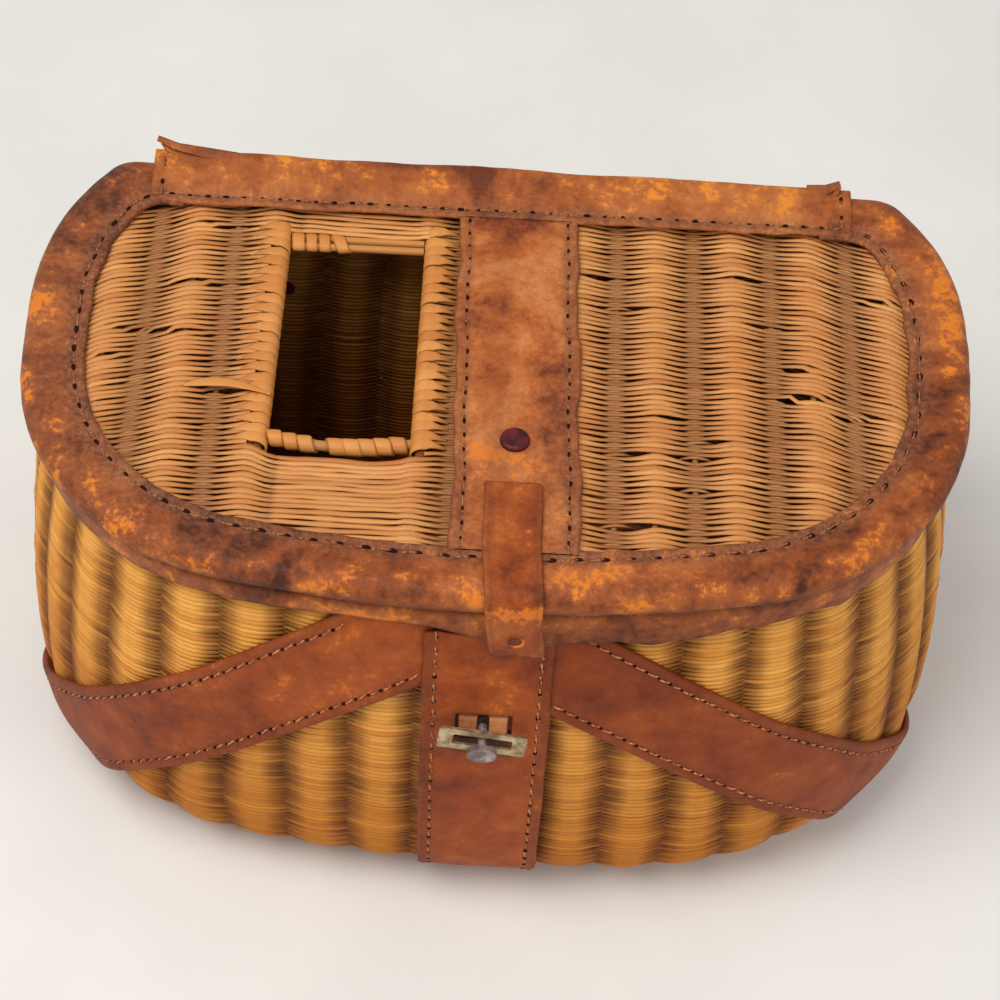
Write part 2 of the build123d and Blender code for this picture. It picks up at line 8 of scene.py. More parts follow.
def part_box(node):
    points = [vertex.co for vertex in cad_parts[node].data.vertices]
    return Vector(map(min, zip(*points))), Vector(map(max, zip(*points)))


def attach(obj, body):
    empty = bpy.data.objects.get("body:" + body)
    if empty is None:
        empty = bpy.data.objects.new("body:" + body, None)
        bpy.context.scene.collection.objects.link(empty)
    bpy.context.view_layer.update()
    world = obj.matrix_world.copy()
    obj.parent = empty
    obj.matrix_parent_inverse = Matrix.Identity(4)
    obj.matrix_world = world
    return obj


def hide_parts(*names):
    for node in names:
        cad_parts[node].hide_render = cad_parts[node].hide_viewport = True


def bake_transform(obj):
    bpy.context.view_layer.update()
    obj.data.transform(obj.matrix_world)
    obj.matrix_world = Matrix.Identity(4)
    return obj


# Wicker fishing creel: woven willow, leather edges and straps, brass latch.
# Sizes here are in millimetres and are turned into metres when a mesh is made.
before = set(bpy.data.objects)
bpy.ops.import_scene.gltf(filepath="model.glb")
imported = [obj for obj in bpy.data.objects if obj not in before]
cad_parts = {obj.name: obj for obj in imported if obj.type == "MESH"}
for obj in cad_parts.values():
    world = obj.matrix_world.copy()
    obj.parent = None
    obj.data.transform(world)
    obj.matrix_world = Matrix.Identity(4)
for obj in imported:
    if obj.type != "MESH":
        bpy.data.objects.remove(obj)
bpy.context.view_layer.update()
print("stage: frame loaded")


def nodeBox(name):
    # lowest and highest corner of a solid, in millimetres
    low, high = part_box(name)
    return np.array(low) * 1000, np.array(high) * 1000


def paint(red, green, blue):
    # a paint chart's 0 to 255 turned into the linear colour that shaders use
    shares = (red / 255, green / 255, blue / 255)
    return tuple(c / 12.92 if c <= 0.04045 else ((c + 0.055) / 1.055) ** 2.4 for c in shares) + (1.0,)


# node helpers
class Value:
    # wraps a socket so that sums on it add Math nodes
    def __init__(self, graph, socket):
        self.graph = graph
        self.socket = socket

    def math(self, operation, *others):
        return self.graph.add("ShaderNodeMath", dict(enumerate((self,) + others)), operation=operation)

    def __add__(self, other): return self.math("ADD", other)
    def __sub__(self, other): return self.math("SUBTRACT", other)
    def __mul__(self, other): return self.math("MULTIPLY", other)

    def __rsub__(self, other):
        return self.graph.add("ShaderNodeMath", {0: other, 1: self}, operation="SUBTRACT")

    def clamp(self):
        return self.graph.add("ShaderNodeClamp", {"Value": self})

    def steps(self, low, high, fromValue=0.0, toValue=1.0):
        # smooth step between two values
        sockets = {"Value": self, "From Min": low, "From Max": high, "To Min": fromValue, "To Max": toValue}
        return self.graph.add("ShaderNodeMapRange", sockets, interpolation_type="SMOOTHSTEP")


class Graph:
    def __init__(self, tree):
        self.tree = tree

    def add(self, kind, sockets=None, out=0, **settings):
        # one node: its settings first, then the values or links of its sockets
        node = self.tree.nodes.new(kind)
        for key, value in settings.items():
            if key == "stops":
                elements = node.color_ramp.elements
                while len(elements) < len(value):
                    elements.new(0.5)
                for element, (position, colour) in zip(elements, value):
                    element.position = position
                    element.color = colour
            else:
                setattr(node, key, value)
        for key, value in (sockets or {}).items():
            if isinstance(value, Value):
                self.tree.links.new(value.socket, node.inputs[key])
            elif value is not None:
                node.inputs[key].default_value = value
        return Value(self, node.outputs[out]) if len(node.outputs) else None

    def mix(self, factor, first, second, blend="MIX"):
        return self.add("ShaderNodeMix", {0: factor, 6: first, 7: second}, 2, data_type="RGBA", blend_type=blend)

    def noise(self, vector, scale, detail=3.0, roughness=0.5, distortion=0.0):
        sockets = {"Vector": vector, "Scale": scale, "Detail": detail, "Roughness": roughness, "Distortion": distortion}
        return self.add("ShaderNodeTexNoise", sockets)

    def read(self, name):
        return self.add("ShaderNodeAttribute", out="Fac", attribute_name=name)

    def stretched(self, scale=(1, 1, 1)):
        # Object coordinates scaled differently along each axis
        coords = self.add("ShaderNodeTexCoord", out="Object")
        return self.add("ShaderNodeMapping", {"Vector": coords, "Scale": scale})


def newMaterial(name):
    material = bpy.data.materials.new(name)
    material.use_nodes = True
    material.node_tree.nodes.clear()
    return material, Graph(material.node_tree)


def finishMaterial(graph, sockets, height=None, depth=0.0004):
    # joins colour, gloss and relief in one shader
    if height is not None:
        sockets["Normal"] = graph.add("ShaderNodeBump", {"Strength": 1.0, "Distance": depth, "Height": height})
    graph.add("ShaderNodeOutputMaterial", {"Surface": graph.add("ShaderNodeBsdfPrincipled", sockets)})


painted = ("pale", "middle", "dark", "foot", "light", "scuff", "clean", "dull")


def rowsOf(keys, rows):
    # a table of tones: one dictionary for each material, all with the same keys
    return {
        name: {key: paint(*value) if key in painted else value for key, value in zip(keys, row)}
        for name, row in rows.items()}


# willow and wood
plainWhite = (255, 255, 255)
# the depth column is how dark the painted shade in furrows and dips gets
willowTones = rowsOf(("pale", "middle", "dark", "foot", "grain", "depth", "rough", "shine"), {
    "lidWillow": ((228, 161, 89), (184, 108, 46), (62, 22, 6), plainWhite, (40, 1500, 1500), 0.94, 0.34, 0.5),
    "bodyWillow": ((248, 184, 88), (196, 114, 32), (88, 38, 4), (218, 192, 150), (90, 90, 1700), 0.9, 0.42, 0.2),
    "caneWillow": ((222, 152, 76), (192, 114, 48), (104, 48, 16), plainWhite, (120, 900, 500), 0.8, 0.38, 0.45),
    "stakeWood": ((206, 146, 84), (164, 102, 50), (74, 36, 14), plainWhite, (300, 300, 300), 0.6, 0.45, 0.4),
    "bareStick": ((224, 168, 96), (190, 124, 58), (120, 70, 30), plainWhite, (60, 900, 900), 0.0, 0.4, 0.45),
})
willowPattern = {
    "patchScale": 26.0, "patchLimits": (0.5, 0.75), "patchShare": 0.45, "patchTone": paint(200, 116, 48),
    "fibreLimits": (0.6, 0.78), "fibreShare": 0.4, "unshadedLimit": 0.85, "footLimits": (0.15, 0.03), "relief": 0.0003}


def willowMaterial(name, tones):
    material, g = newMaterial(name)
    pattern = willowPattern
    tint = g.read("tint")
    crest = g.read("crest")
    fibres = g.noise(g.stretched(tones["grain"]), 1.0, 4.0, 0.6)
    plain = g.stretched()
    patches = g.noise(plain, pattern["patchScale"])
    colour = g.mix((fibres * 0.5 + tint * 0.75 - 0.15).clamp(), tones["middle"], tones["pale"])
    colour = g.mix(patches.steps(*pattern["patchLimits"], 0.0, pattern["patchShare"]), colour, pattern["patchTone"])
    colour = g.mix(fibres.steps(*pattern["fibreLimits"], 0.0, pattern["fibreShare"]), colour, tones["dark"])
    # painted shade: strands darker in the furrows and where they dip behind stakes
    colour = g.mix(crest.steps(0.0, pattern["unshadedLimit"], tones["depth"], 0.0), colour, tones["dark"])
    # the basket is deeper in colour towards its foot
    height = g.add("ShaderNodeSeparateXYZ", {0: plain}, 2)
    foot = g.mix(1.0, colour, tones["foot"], "MULTIPLY")
    colour = g.mix(height.steps(*pattern["footLimits"]), colour, foot)
    rough = (fibres * 0.24 + tones["rough"]).clamp()
    sockets = {"Base Color": colour, "Roughness": rough, "Specular IOR Level": tones["shine"]}
    finishMaterial(g, sockets, fibres, pattern["relief"])
    return material


# leather
leatherTones = rowsOf(("dark", "middle", "light", "scuff", "wear", "gloss", "spread"), {
    "edgeLeather": ((74, 32, 18), (150, 76, 34), (192, 112, 58), (228, 128, 30), 1.0, 0.4, 0.115),
    "hingeLeather": ((104, 50, 24), (168, 90, 40), (204, 126, 66), (234, 138, 36), 1.0, 0.42, 0.13),
    "panelLeather": ((100, 36, 8), (152, 66, 18), (188, 96, 34), (214, 110, 34), 0.5, 0.46, 0.17),
    "strapLeather": ((116, 50, 22), (186, 100, 44), (218, 142, 84), (226, 124, 36), 0.7, 0.44, 0.125),
    "tongueLeather": ((76, 30, 12), (146, 66, 22), (186, 100, 40), (226, 122, 30), 1.0, 0.4, 0.14),
    "liningLeather": ((44, 20, 10), (204, 128, 72), (226, 156, 100), (230, 166, 110), 0.2, 0.6, 0.16),
})
leatherPattern = {
    "stainScale": 22.0, "blotchScale": 75.0, "speckScale": 420.0, "pebbleScale": 1150.0, "middleTone": 0.565,
    "dustDark": paint(96, 56, 38), "dustPale": paint(148, 106, 80), "rubLimits": (0.665, 0.745), "rubShare": 0.85,
    "shadowTone": paint(30, 14, 8), "shine": 0.22, "relief": 0.0006}


def leatherMaterial(name, tones):
    material, g = newMaterial(name)
    pattern = leatherPattern
    plain = g.stretched()
    wear = g.read("wear")
    dust = g.read("dust")
    shade = g.read("shade")
    stains = g.noise(plain, pattern["stainScale"], 4.0, 0.6, 0.6)
    blotches = g.noise(plain, pattern["blotchScale"], 5.0, 0.65)
    specks = g.noise(plain, pattern["speckScale"], 4.0, 0.7)
    voronoi = {"Vector": plain, "Scale": pattern["pebbleScale"], "Randomness": 1.0}
    pebbles = g.add("ShaderNodeTexVoronoi", voronoi)
    tone = (stains * 0.6 + blotches * 0.4 + specks * 0.15).clamp()
    middle, spread = pattern["middleTone"], tones["spread"]
    stops = [(middle - spread, tones["dark"]), (middle, tones["middle"]), (middle + spread * 1.1, tones["light"])]
    colour = g.add("ShaderNodeValToRGB", {0: tone}, stops=stops)
    grey = g.mix(specks.steps(0.35, 0.7), pattern["dustDark"], pattern["dustPale"])
    colour = g.mix((dust * (stains * 0.55 + 0.3)).clamp(), colour, grey)
    rub = blotches * 0.55 + specks * 0.3 + stains * 0.3 + wear * 0.07 * tones["wear"]
    scuffed = rub.steps(*pattern["rubLimits"], 0.0, pattern["rubShare"])
    colour = g.mix(scuffed, colour, tones["scuff"])
    colour = g.mix((shade * 0.75).clamp(), colour, tones["dark"])
    # painted shadow: mixed towards near black where that attribute is set
    colour = g.mix(g.read("stain").clamp(), colour, pattern["shadowTone"])
    rough = (specks * 0.2 + tones["gloss"] + dust * 0.12 - scuffed * 0.05).clamp()
    height = pebbles * 0.35 + blotches * 0.9 + specks * 0.5 - scuffed * 0.25
    sockets = {"Base Color": colour, "Roughness": rough, "Specular IOR Level": pattern["shine"]}
    finishMaterial(g, sockets, height, pattern["relief"])
    return material


# metal and thread
metalTones = rowsOf(("clean", "dull", "rough", "metal"), {
    "agedBrass": ((212, 192, 154), (140, 116, 84), 0.32, 0.75),
    "studBrass": ((190, 176, 178), (122, 106, 108), 0.36, 0.75),
    "darkCopper": ((116, 36, 40), (60, 14, 18), 0.3, 0.4),
    # tarnished, and painted very dark as well to stand for the shade in the latch window's cavity
    "tarnishedShadedMetal": ((70, 46, 32), (34, 20, 14), 0.5, 0.5),
})
metalPattern = {"tarnishScale": 160.0, "scratches": (300, 2500, 900), "relief": 0.0001}


def metalMaterial(name, tones):
    material, g = newMaterial(name)
    tarnish = g.noise(g.stretched(), metalPattern["tarnishScale"], 5.0, 0.65)
    scratches = g.noise(g.stretched(metalPattern["scratches"]), 1.0)
    colour = g.mix(tarnish.steps(0.38, 0.66), tones["dull"], tones["clean"])
    rough = (tarnish * 0.25 + tones["rough"] + scratches * 0.1).clamp()
    sockets = {"Base Color": colour, "Roughness": rough, "Metallic": (tarnish * 0.15 + tones["metal"]).clamp()}
    finishMaterial(g, sockets, scratches * 0.4 + tarnish, metalPattern["relief"])
    return material


threadTones = rowsOf(("light", "dark"), {
    "paleThread": ((214, 150, 104), (138, 78, 48)),
    "dullThread": ((176, 118, 78), (104, 58, 38)),
    "holeShade": ((48, 14, 6), (26, 8, 4)),
})


def threadMaterial(name, tones):
    material, g = newMaterial(name)
    twist = g.noise(g.stretched((900, 900, 900)), 1.0)
    colour = g.mix(twist.steps(0.35, 0.65), tones["dark"], tones["light"])
    sockets = {"Base Color": colour, "Roughness": (twist * 0.3 + 0.7).clamp(), "Specular IOR Level": 0.15}
    finishMaterial(g, sockets, twist, 0.0002)
    return material


materials = {}
makers = (
    (willowMaterial, willowTones), (leatherMaterial, leatherTones), (metalMaterial, metalTones),
    (threadMaterial, threadTones))
for maker, table in makers:
    for name, tones in table.items():
        materials[name] = maker(name, tones)
print("stage: materials made")


# mesh helpers
def ramp(x, start, span):
    # 0 at the start and 1 a span further, held beyond; a negative span runs downwards
    return np.clip((x - start) / span, 0, 1)


def bell(x, middle, width):
    # 1 at the middle and falling away on both sides
    return np.exp(-(((x - middle) / width) ** 2))


def place(*coordinates):
    # points from their coordinates; a single number holds for all of them
    return np.stack(np.broadcast_arrays(*coordinates), -1)


def ripple(points, size, seed, layers=6):
    # smooth unevenness between about -1 and 1, with features of a size in millimetres
    rng = np.random.default_rng(seed)
    points = np.asarray(points, float)
    if points.ndim == 1:
        points = points[:, None]
    total = np.zeros(points.shape[:-1])
    for _ in range(layers):
        direction = rng.normal(size=points.shape[-1])
        direction *= 2 * math.pi / (size * rng.uniform(0.7, 1.6) * np.linalg.norm(direction))
        total += np.sin(points @ direction + rng.uniform(0, 2 * math.pi))
    return total / layers * 1.6


def unitTangents(path):
    tangent = np.gradient(path, axis=0)
    return tangent / np.linalg.norm(tangent, axis=1)[:, None]


def link(name, data):
    piece = bpy.data.objects.new(name, data)
    bpy.context.scene.collection.objects.link(piece)
    return piece


def makeMesh(name, points, faces=(), edges=(), values=None):
    mesh = bpy.data.meshes.new(name)
    points = np.asarray(points, float).reshape(-1, 3)
    mesh.from_pydata((points / 1000).tolist(), [tuple(e) for e in edges], [tuple(f) for f in faces])
    for key, array in (values or {}).items():
        array = np.asarray(array, np.float32)
        vector = array.ndim > 1
        attribute = mesh.attributes.new(key, "FLOAT_VECTOR" if vector else "FLOAT", "POINT")
        attribute.data.foreach_set("vector" if vector else "value", array.ravel())
    mesh.validate()
    mesh.update()
    return link(name, mesh)


def dress(piece, material, body, slotName, *nodes):
    # material, smooth faces, the body it rides on and the solids it stands for
    if material:
        piece.data.materials.clear()
        piece.data.materials.append(materials[material])
    piece.data.shade_smooth()
    if body:
        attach(piece, body)
    if nodes:
        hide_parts(*nodes)
    return piece


def sweepRings(name, rings, closedPath=False, **values):
    # a tube of leather through closed cross-sections, capped at its ends
    rings = np.asarray(rings, float)
    count, around = rings.shape[:2]
    faces = []
    for i in range(count if closedPath else count - 1):
        a, b = i * around, ((i + 1) % count) * around
        for k in range(around):
            n = (k + 1) % around
            faces.append((a + k, a + n, b + n, b + k))
    if not closedPath:
        half = around // 2
        for start, flip in ((0, False), ((count - 1) * around, True)):
            for k in range(half - (1 if around % 2 == 0 else 0)):
                quad = (start + k, start + k + 1, start + around - 2 - k, start + around - 1 - k)
                if len(set(quad)) >= 3:
                    faces.append(quad if flip else quad[::-1])
    spread = {key: np.broadcast_to(array, (count, around)).ravel() for key, array in values.items()}
    piece = makeMesh(name, rings, faces, values=spread)
    bm = bmesh.new()
    bm.from_mesh(piece.data)
    bmesh.ops.recalc_face_normals(bm, faces=bm.faces)
    bm.to_mesh(piece.data)
    bm.free()
    return piece


def sheetFaces(rows, columns, keep=None):
    # faces of a grid of points, without those that keep refuses
    return [
        (r * columns + c, r * columns + c + 1, (r + 1) * columns + c + 1, (r + 1) * columns + c)
        for r in range(rows - 1) for c in range(columns - 1) if keep is None or keep(r, c)]


def thicken(piece, thickness):
    modifier = piece.modifiers.new("thickness", "SOLIDIFY")
    modifier.thickness = thickness
    modifier.offset = -1.0


def strapSection(width, thickness, stitches=(), groove=0.5, welt=0.0, weltWidth=4.0, steps=26):
    # one leather cross-section: places across, heights, and how dusty each is; callers also use this dust mask for
    # painted shade in the stitch grooves and along the edges
    inset = thickness * 0.35
    across = np.linspace(-width / 2 + inset, width / 2 - inset, steps)
    height = np.full(steps, float(thickness))
    dust = np.zeros(steps)
    for line in stitches:
        height -= groove * bell(across, line, 0.9)
        dust += 0.55 * bell(across, line, 2.2)
    edge = width / 2 - np.abs(across)
    height += welt * (edge < weltWidth)
    dust += 0.5 * bell(edge, 0, 2.6)
    side = thickness + welt
    left, right = [-width / 2, -width / 2 + side * 0.1], [width / 2 - side * 0.1, width / 2]
    across = np.concatenate([left, across, right, across[-1:], across[:1]])
    height = np.concatenate([[side * 0.35, side * 0.75], height, [side * 0.75, side * 0.35], [0.0, 0.0]])
    dust = np.concatenate([[0.6, 0.6], dust, [0.6, 0.6], [0.5, 0.5]])
    return across, height, np.clip(dust, 0, 1)


# geometry node trees
def newTree(name, inputs):
    tree = bpy.data.node_groups.new(name, "GeometryNodeTree")
    tree.is_modifier = True
    tree.interface.new_socket("Geometry", in_out="INPUT", socket_type="NodeSocketGeometry")
    for label, value in inputs.items():
        kind = "Material" if value is None else "Int" if isinstance(value, int) else "Float"
        socket = tree.interface.new_socket(label, in_out="INPUT", socket_type="NodeSocket" + kind)
        if value is not None:
            socket.default_value = value
    tree.interface.new_socket("Geometry", in_out="OUTPUT", socket_type="NodeSocketGeometry")
    graph = Graph(tree)
    outputs = graph.add("NodeGroupInput").socket.node.outputs
    return tree, graph, lambda label: Value(graph, outputs[label])


def endTree(graph, geometry, material):
    real = graph.add("GeometryNodeRealizeInstances", {"Geometry": geometry})
    smooth = graph.add("GeometryNodeSetShadeSmooth", {"Geometry": real})
    done = graph.add("GeometryNodeSetMaterial", {"Geometry": smooth, "Material": material})
    graph.add("NodeGroupOutput", {0: done})


def runTree(source, tree, name, settings):
    # puts a tree on a guide mesh, keeps the result as a plain mesh and drops the guide
    source.name = name + "Guide"
    modifier = source.modifiers.new("tree", "NODES")
    modifier.node_group = tree
    identifiers = {item.name: item.identifier for item in tree.interface.items_tree if item.in_out == "INPUT"}
    for label, value in settings.items():
        modifier[identifiers[label]] = value
    bpy.context.view_layer.update()
    evaluated = source.evaluated_get(bpy.context.evaluated_depsgraph_get())
    mesh = bpy.data.meshes.new_from_object(evaluated)
    mesh.name = name
    piece = link(name, mesh)
    bpy.data.objects.remove(source)
    return piece


def guideCurve(g, given):
    # the guide mesh as a curve, and its outward direction
    curve = g.add("GeometryNodeMeshToCurve", {"Mesh": given("Geometry")})
    outward = g.add("GeometryNodeInputNamedAttribute", {"Name": "outward"}, data_type="FLOAT_VECTOR")
    return curve, outward


def makeStrandTree():
    # sweeps an oval rod or a flat ribbon along each guide line
    tree, g, given = newTree("strandTree", {"Width": 0.003, "Thickness": 0.0015, "Sides": 6, "Material": None})
    curve, outward = guideCurve(g, given)
    girth = g.add("GeometryNodeInputNamedAttribute", {"Name": "girth"}, data_type="FLOAT")
    curve = g.add("GeometryNodeSetCurveNormal", {"Curve": curve, "Normal": outward}, mode="FREE")
    circle = g.add("GeometryNodeCurvePrimitiveCircle", {"Resolution": given("Sides"), "Radius": 0.5})
    size = g.add("ShaderNodeCombineXYZ", {0: given("Thickness"), 1: given("Width"), 2: 1.0})
    profile = g.add("GeometryNodeTransform", {"Geometry": circle, "Scale": size})
    sockets = {"Curve": curve, "Profile Curve": profile, "Scale": girth, "Fill Caps": True}
    endTree(g, g.add("GeometryNodeCurveToMesh", sockets), given("Material"))
    return tree


def placeAlong(g, given, curve, outward, instance, smallest, largest):
    # copies of a shape at the pitch along the curve, square to the leather
    spacing = {"Curve": curve, "Length": given("Pitch")}
    points = g.add("GeometryNodeResampleCurve", spacing, mode="LENGTH")
    axes = {"Primary Axis": outward, "Secondary Axis": g.add("GeometryNodeInputTangent")}
    turn = g.add("FunctionNodeAxesToRotation", axes, primary_axis="Z", secondary_axis="X")
    limits = {2: smallest, 3: largest, "Seed": given("Seed")}
    scale = g.add("FunctionNodeRandomValue", limits, 1, data_type="FLOAT")
    sockets = {"Points": points, "Instance": instance, "Rotation": turn, "Scale": scale}
    endTree(g, g.add("GeometryNodeInstanceOnPoints", sockets), given("Material"))


def makeStitchTree():
    # stitches along guide lines: an arched thread between holes
    tree, g, given = newTree("stitchTree", {
        "Pitch": 0.006, "Length": 0.004, "Thread": 0.0004, "Lift": 0.0006, "Slant": 0.1, "Seed": 3, "Material": None})
    curve, outward = guideCurve(g, given)
    half = given("Length") * 0.5
    low = 0 - given("Lift")
    corners = ((0 - half, low), (0.0, given("Lift") * 2), (half, low))
    start, middle, end = (g.add("ShaderNodeCombineXYZ", {0: x, 1: 0.0, 2: z}) for x, z in corners)
    bezier = {"Resolution": 5, "Start": start, "Middle": middle, "End": end}
    arch = g.add("GeometryNodeCurveQuadraticBezier", bezier)
    circle = g.add("GeometryNodeCurvePrimitiveCircle", {"Resolution": 6, "Radius": given("Thread")})
    sockets = {"Curve": arch, "Profile Curve": circle, "Fill Caps": True}
    stitch = g.add("GeometryNodeCurveToMesh", sockets)
    slant = g.add("ShaderNodeCombineXYZ", {2: given("Slant")})
    stitch = g.add("GeometryNodeTransform", {"Geometry": stitch, "Rotation": slant})
    placeAlong(g, given, curve, outward, stitch, 0.8, 1.12)
    return tree


def makeHoleTree():
    # small sunk ovals where the thread goes through, painted dark as the shade inside the holes
    inputs = {"Pitch": 0.006, "Length": 0.002, "Width": 0.0012, "Seed": 5, "Material": None}
    tree, g, given = newTree("holeTree", inputs)
    curve, outward = guideCurve(g, given)
    trim = {0: curve, 4: given("Pitch") * 0.5, 5: 1000.0}
    trimmed = g.add("GeometryNodeTrimCurve", trim, mode="LENGTH")
    ball = g.add("GeometryNodeMeshIcoSphere", {"Radius": 0.5, "Subdivisions": 2})
    size = g.add("ShaderNodeCombineXYZ", {0: given("Length"), 1: given("Width"), 2: 0.001})
    hole = g.add("GeometryNodeTransform", {"Geometry": ball, "Scale": size})
    placeAlong(g, given, trimmed, outward, hole, 0.75, 1.15)
    return tree


strandTree = makeStrandTree()
stitchTree = makeStitchTree()
holeTree = makeHoleTree()


def guide(points, outward=(0.0, 0.0, 1.0), **values):
    # one guide line; a single direction or number holds for all of its points
    points = np.asarray(points, float)
    return dict(points=points, outward=np.broadcast_to(outward, points.shape), **values)


def guideLines(name, lines, closed=False):
    # a mesh of guide lines with their values on its points
    points, edges, values = [], [], {}
    for line in lines:
        first = len(points)
        count = len(line["points"])
        points.extend(line["points"])
        edges.extend((first + i, first + i + 1) for i in range(count - 1))
        if closed:
            edges.append((first + count - 1, first))
        for key, array in line.items():
            if key != "points":
                values.setdefault(key, []).extend(np.broadcast_to(array, (count,) + np.shape(array)[1:]))
    return makeMesh(name, points, edges=edges, values={k: np.array(v) for k, v in values.items()})


def sweepStrands(name, lines, size, material, body, slotName, *nodes, closed=False):
    # strands along guide lines; size is width and thickness in millimetres and the number of sides
    settings = {"Width": size[0] / 1000, "Thickness": size[1] / 1000, "Sides": size[2], "Material": materials[material]}
    piece = runTree(guideLines(name, lines, closed), strandTree, name, settings)
    return dress(piece, None, body, slotName, *nodes)


def sewing(name, lines, style, body, slotName):
    # thread and holes along the lines
    for suffix, tree, part in (("Thread", stitchTree, "thread"), ("Holes", holeTree, "hole")):
        material = style["material"] if part == "thread" else "holeShade"
        settings = dict(style[part], Pitch=style["Pitch"], Material=materials[material])
        dress(runTree(guideLines(name + suffix, lines), tree, name + suffix, settings), None, body, slotName)


# the creel's own shapes
plan = {
    "cornerRadius": 104.6, "sideRadius": 423.0, "sideTurn": 5.0, "backSideRadius": 115.0, "backCornerRadius": 14.0,
    "widestFromFront": 140.0}
wall = {"bellyHeight": 46.0, "baseSwell": -24.0, "bellySwell": 9.0, "topSwell": -6.0}
# the belly is fuller low on the right of the front
fuller = {"extra": 3.4, "along": 78.0, "reach": 44.0, "top": 95.0, "fade": 60.0}
lidLow, lidHigh = nodeBox("lid_binding")
lidWeaveLow, lidWeaveHigh = nodeBox("lid_weave")
weaveHigh = nodeBox("basket_weave")[1]
rimLow, rimHigh = nodeBox("rim_band")
stripLow, stripHigh = nodeBox("hinge_strip_lid")
backStripLow = nodeBox("hinge_strip_back")[0]
panelLow, panelHigh = nodeBox("front_panel")
strapLow, strapHigh = nodeBox("centre_strap")
tongueLow, tongueHigh = nodeBox("latch_tongue")
lidFront = lidLow[1]
lidPlanBack = lidHigh[1]
wallBack = weaveHigh[1]
wallTop = weaveHigh[2]
mouthTop = rimHigh[2]
sideY = lidFront + plan["widestFromFront"]
halfWidth = (lidHigh[0] - lidLow[0]) / 2
lidMiddle = (lidWeaveLow[2] + lidWeaveHigh[2]) / 2

# the front arc follows from its neighbours
sideTurn = math.radians(plan["sideTurn"])
cornerX = halfWidth - plan["sideRadius"] + (plan["sideRadius"] - plan["cornerRadius"]) * math.cos(sideTurn)
cornerDeep = plan["widestFromFront"] - (plan["sideRadius"] - plan["cornerRadius"]) * math.sin(sideTurn)
frontRadius = (cornerX**2 + cornerDeep**2 - plan["cornerRadius"] ** 2) / (2 * (cornerDeep - plan["cornerRadius"]))
frontTurn = math.asin(cornerX / (frontRadius - plan["cornerRadius"]))
cornerTurn = math.pi / 2 - sideTurn - frontTurn
frontCentre = np.array([0.0, lidFront + frontRadius])
cornerReach = frontRadius - plan["cornerRadius"]
cornerCentre = frontCentre + cornerReach * np.array([math.sin(frontTurn), -math.cos(frontTurn)])
sideCentre = np.array([halfWidth - plan["sideRadius"], sideY])
backSideCentre = np.array([halfWidth - plan["backSideRadius"], sideY])
backReach = plan["backSideRadius"] - plan["backCornerRadius"]
backTurnHere = math.asin((wallBack - plan["backCornerRadius"] - sideY) / backReach)
arcLengths = [
    frontRadius * frontTurn, plan["cornerRadius"] * cornerTurn, plan["sideRadius"] * sideTurn,
    plan["backSideRadius"] * backTurnHere, plan["backCornerRadius"] * (math.pi / 2 - backTurnHere),
    backSideCentre[0] + backReach * math.cos(backTurnHere)]
arcEnds = np.cumsum([0.0] + arcLengths)
halfLoop = arcEnds[-1]


def outline(along, grow, back):
    # plan point and outward normal; along runs round the loop in millimetres,
    # from the middle of the front to the right
    along = np.asarray(along, float) % (2 * halfLoop)
    mirror = along > halfLoop
    s = np.where(mirror, 2 * halfLoop - along, along)
    grow = np.broadcast_to(np.asarray(grow, float), s.shape)
    back = np.broadcast_to(np.asarray(back, float), s.shape)
    corner = plan["backCornerRadius"]
    reach = plan["backSideRadius"] + grow - corner
    backTurn = np.arcsin(np.clip((back - corner - sideY) / reach, -1, 1))
    cornerMiddleX = backSideCentre[0] + reach * np.cos(backTurn)
    part = np.clip(np.searchsorted(arcEnds, s, side="right") - 1, 0, 5)
    f = (s - arcEnds[part]) / np.array(arcLengths)[part]
    # front, corner, side and back side, each with its centre, radius, first angle and turn
    arcs = [
        (frontCentre, frontRadius, 0.0, frontTurn), (cornerCentre, plan["cornerRadius"], frontTurn, cornerTurn),
        (sideCentre, plan["sideRadius"], frontTurn + cornerTurn, sideTurn),
        (backSideCentre, plan["backSideRadius"], math.pi / 2, backTurn)]
    placed = []
    for centre, radius, first, turn in arcs:
        angle = first + f * turn
        px, py = centre[0] + (radius + grow) * np.sin(angle), centre[1] - (radius + grow) * np.cos(angle)
        placed.append((px, py, np.sin(angle), -np.cos(angle)))
    angle = math.pi / 2 + backTurn + f * (math.pi / 2 - backTurn)
    px, py = cornerMiddleX + corner * np.sin(angle), back - corner - corner * np.cos(angle)
    placed.append((px, py, np.sin(angle), -np.cos(angle)))
    placed.append((cornerMiddleX * (1 - f), back, np.zeros_like(s), np.ones_like(s)))
    x, y, nx, ny = (np.choose(part, [one[i] for one in placed]) for i in range(4))
    side = np.where(mirror, -1, 1)
    return place(x * side, y), place(nx * side, ny)


def swell(z):
    # how far the wall stands out from the lid's plan at a height
    z = np.clip(np.asarray(z, float), 0, wallTop)
    base, belly, top, height = wall["baseSwell"], wall["bellySwell"], wall["topSwell"], wall["bellyHeight"]
    below = base + (belly - base) * np.sqrt(np.clip(1 - (1 - z / height) ** 2, 0, 1))
    above = belly + (top - belly) * ((z - height) / (wallTop - height)) ** 2
    return np.where(z < height, below, above)


def wallPoint(along, z, out):
    # a point on the wall, out from the weave's outer face, and its outward normal
    along, z = np.asarray(along), np.asarray(z, float)
    low = fuller["extra"] * bell(along, fuller["along"], fuller["reach"]) * ramp(z, fuller["top"], -fuller["fade"])
    flat, normal = outline(along, swell(z) + out + low, wallBack + out)
    z = np.broadcast_to(z, flat.shape[:-1])
    # the flat back has no slope of its own
    slope = (swell(z + 0.5) - swell(z - 0.5)) * np.clip(-normal[..., 1] * 4 + 3.9, 0, 1)
    steep = 1 / np.sqrt(1 + slope**2)
    return place(flat[..., 0], flat[..., 1], z), place(normal[..., 0] * steep, normal[..., 1] * steep, -slope * steep)


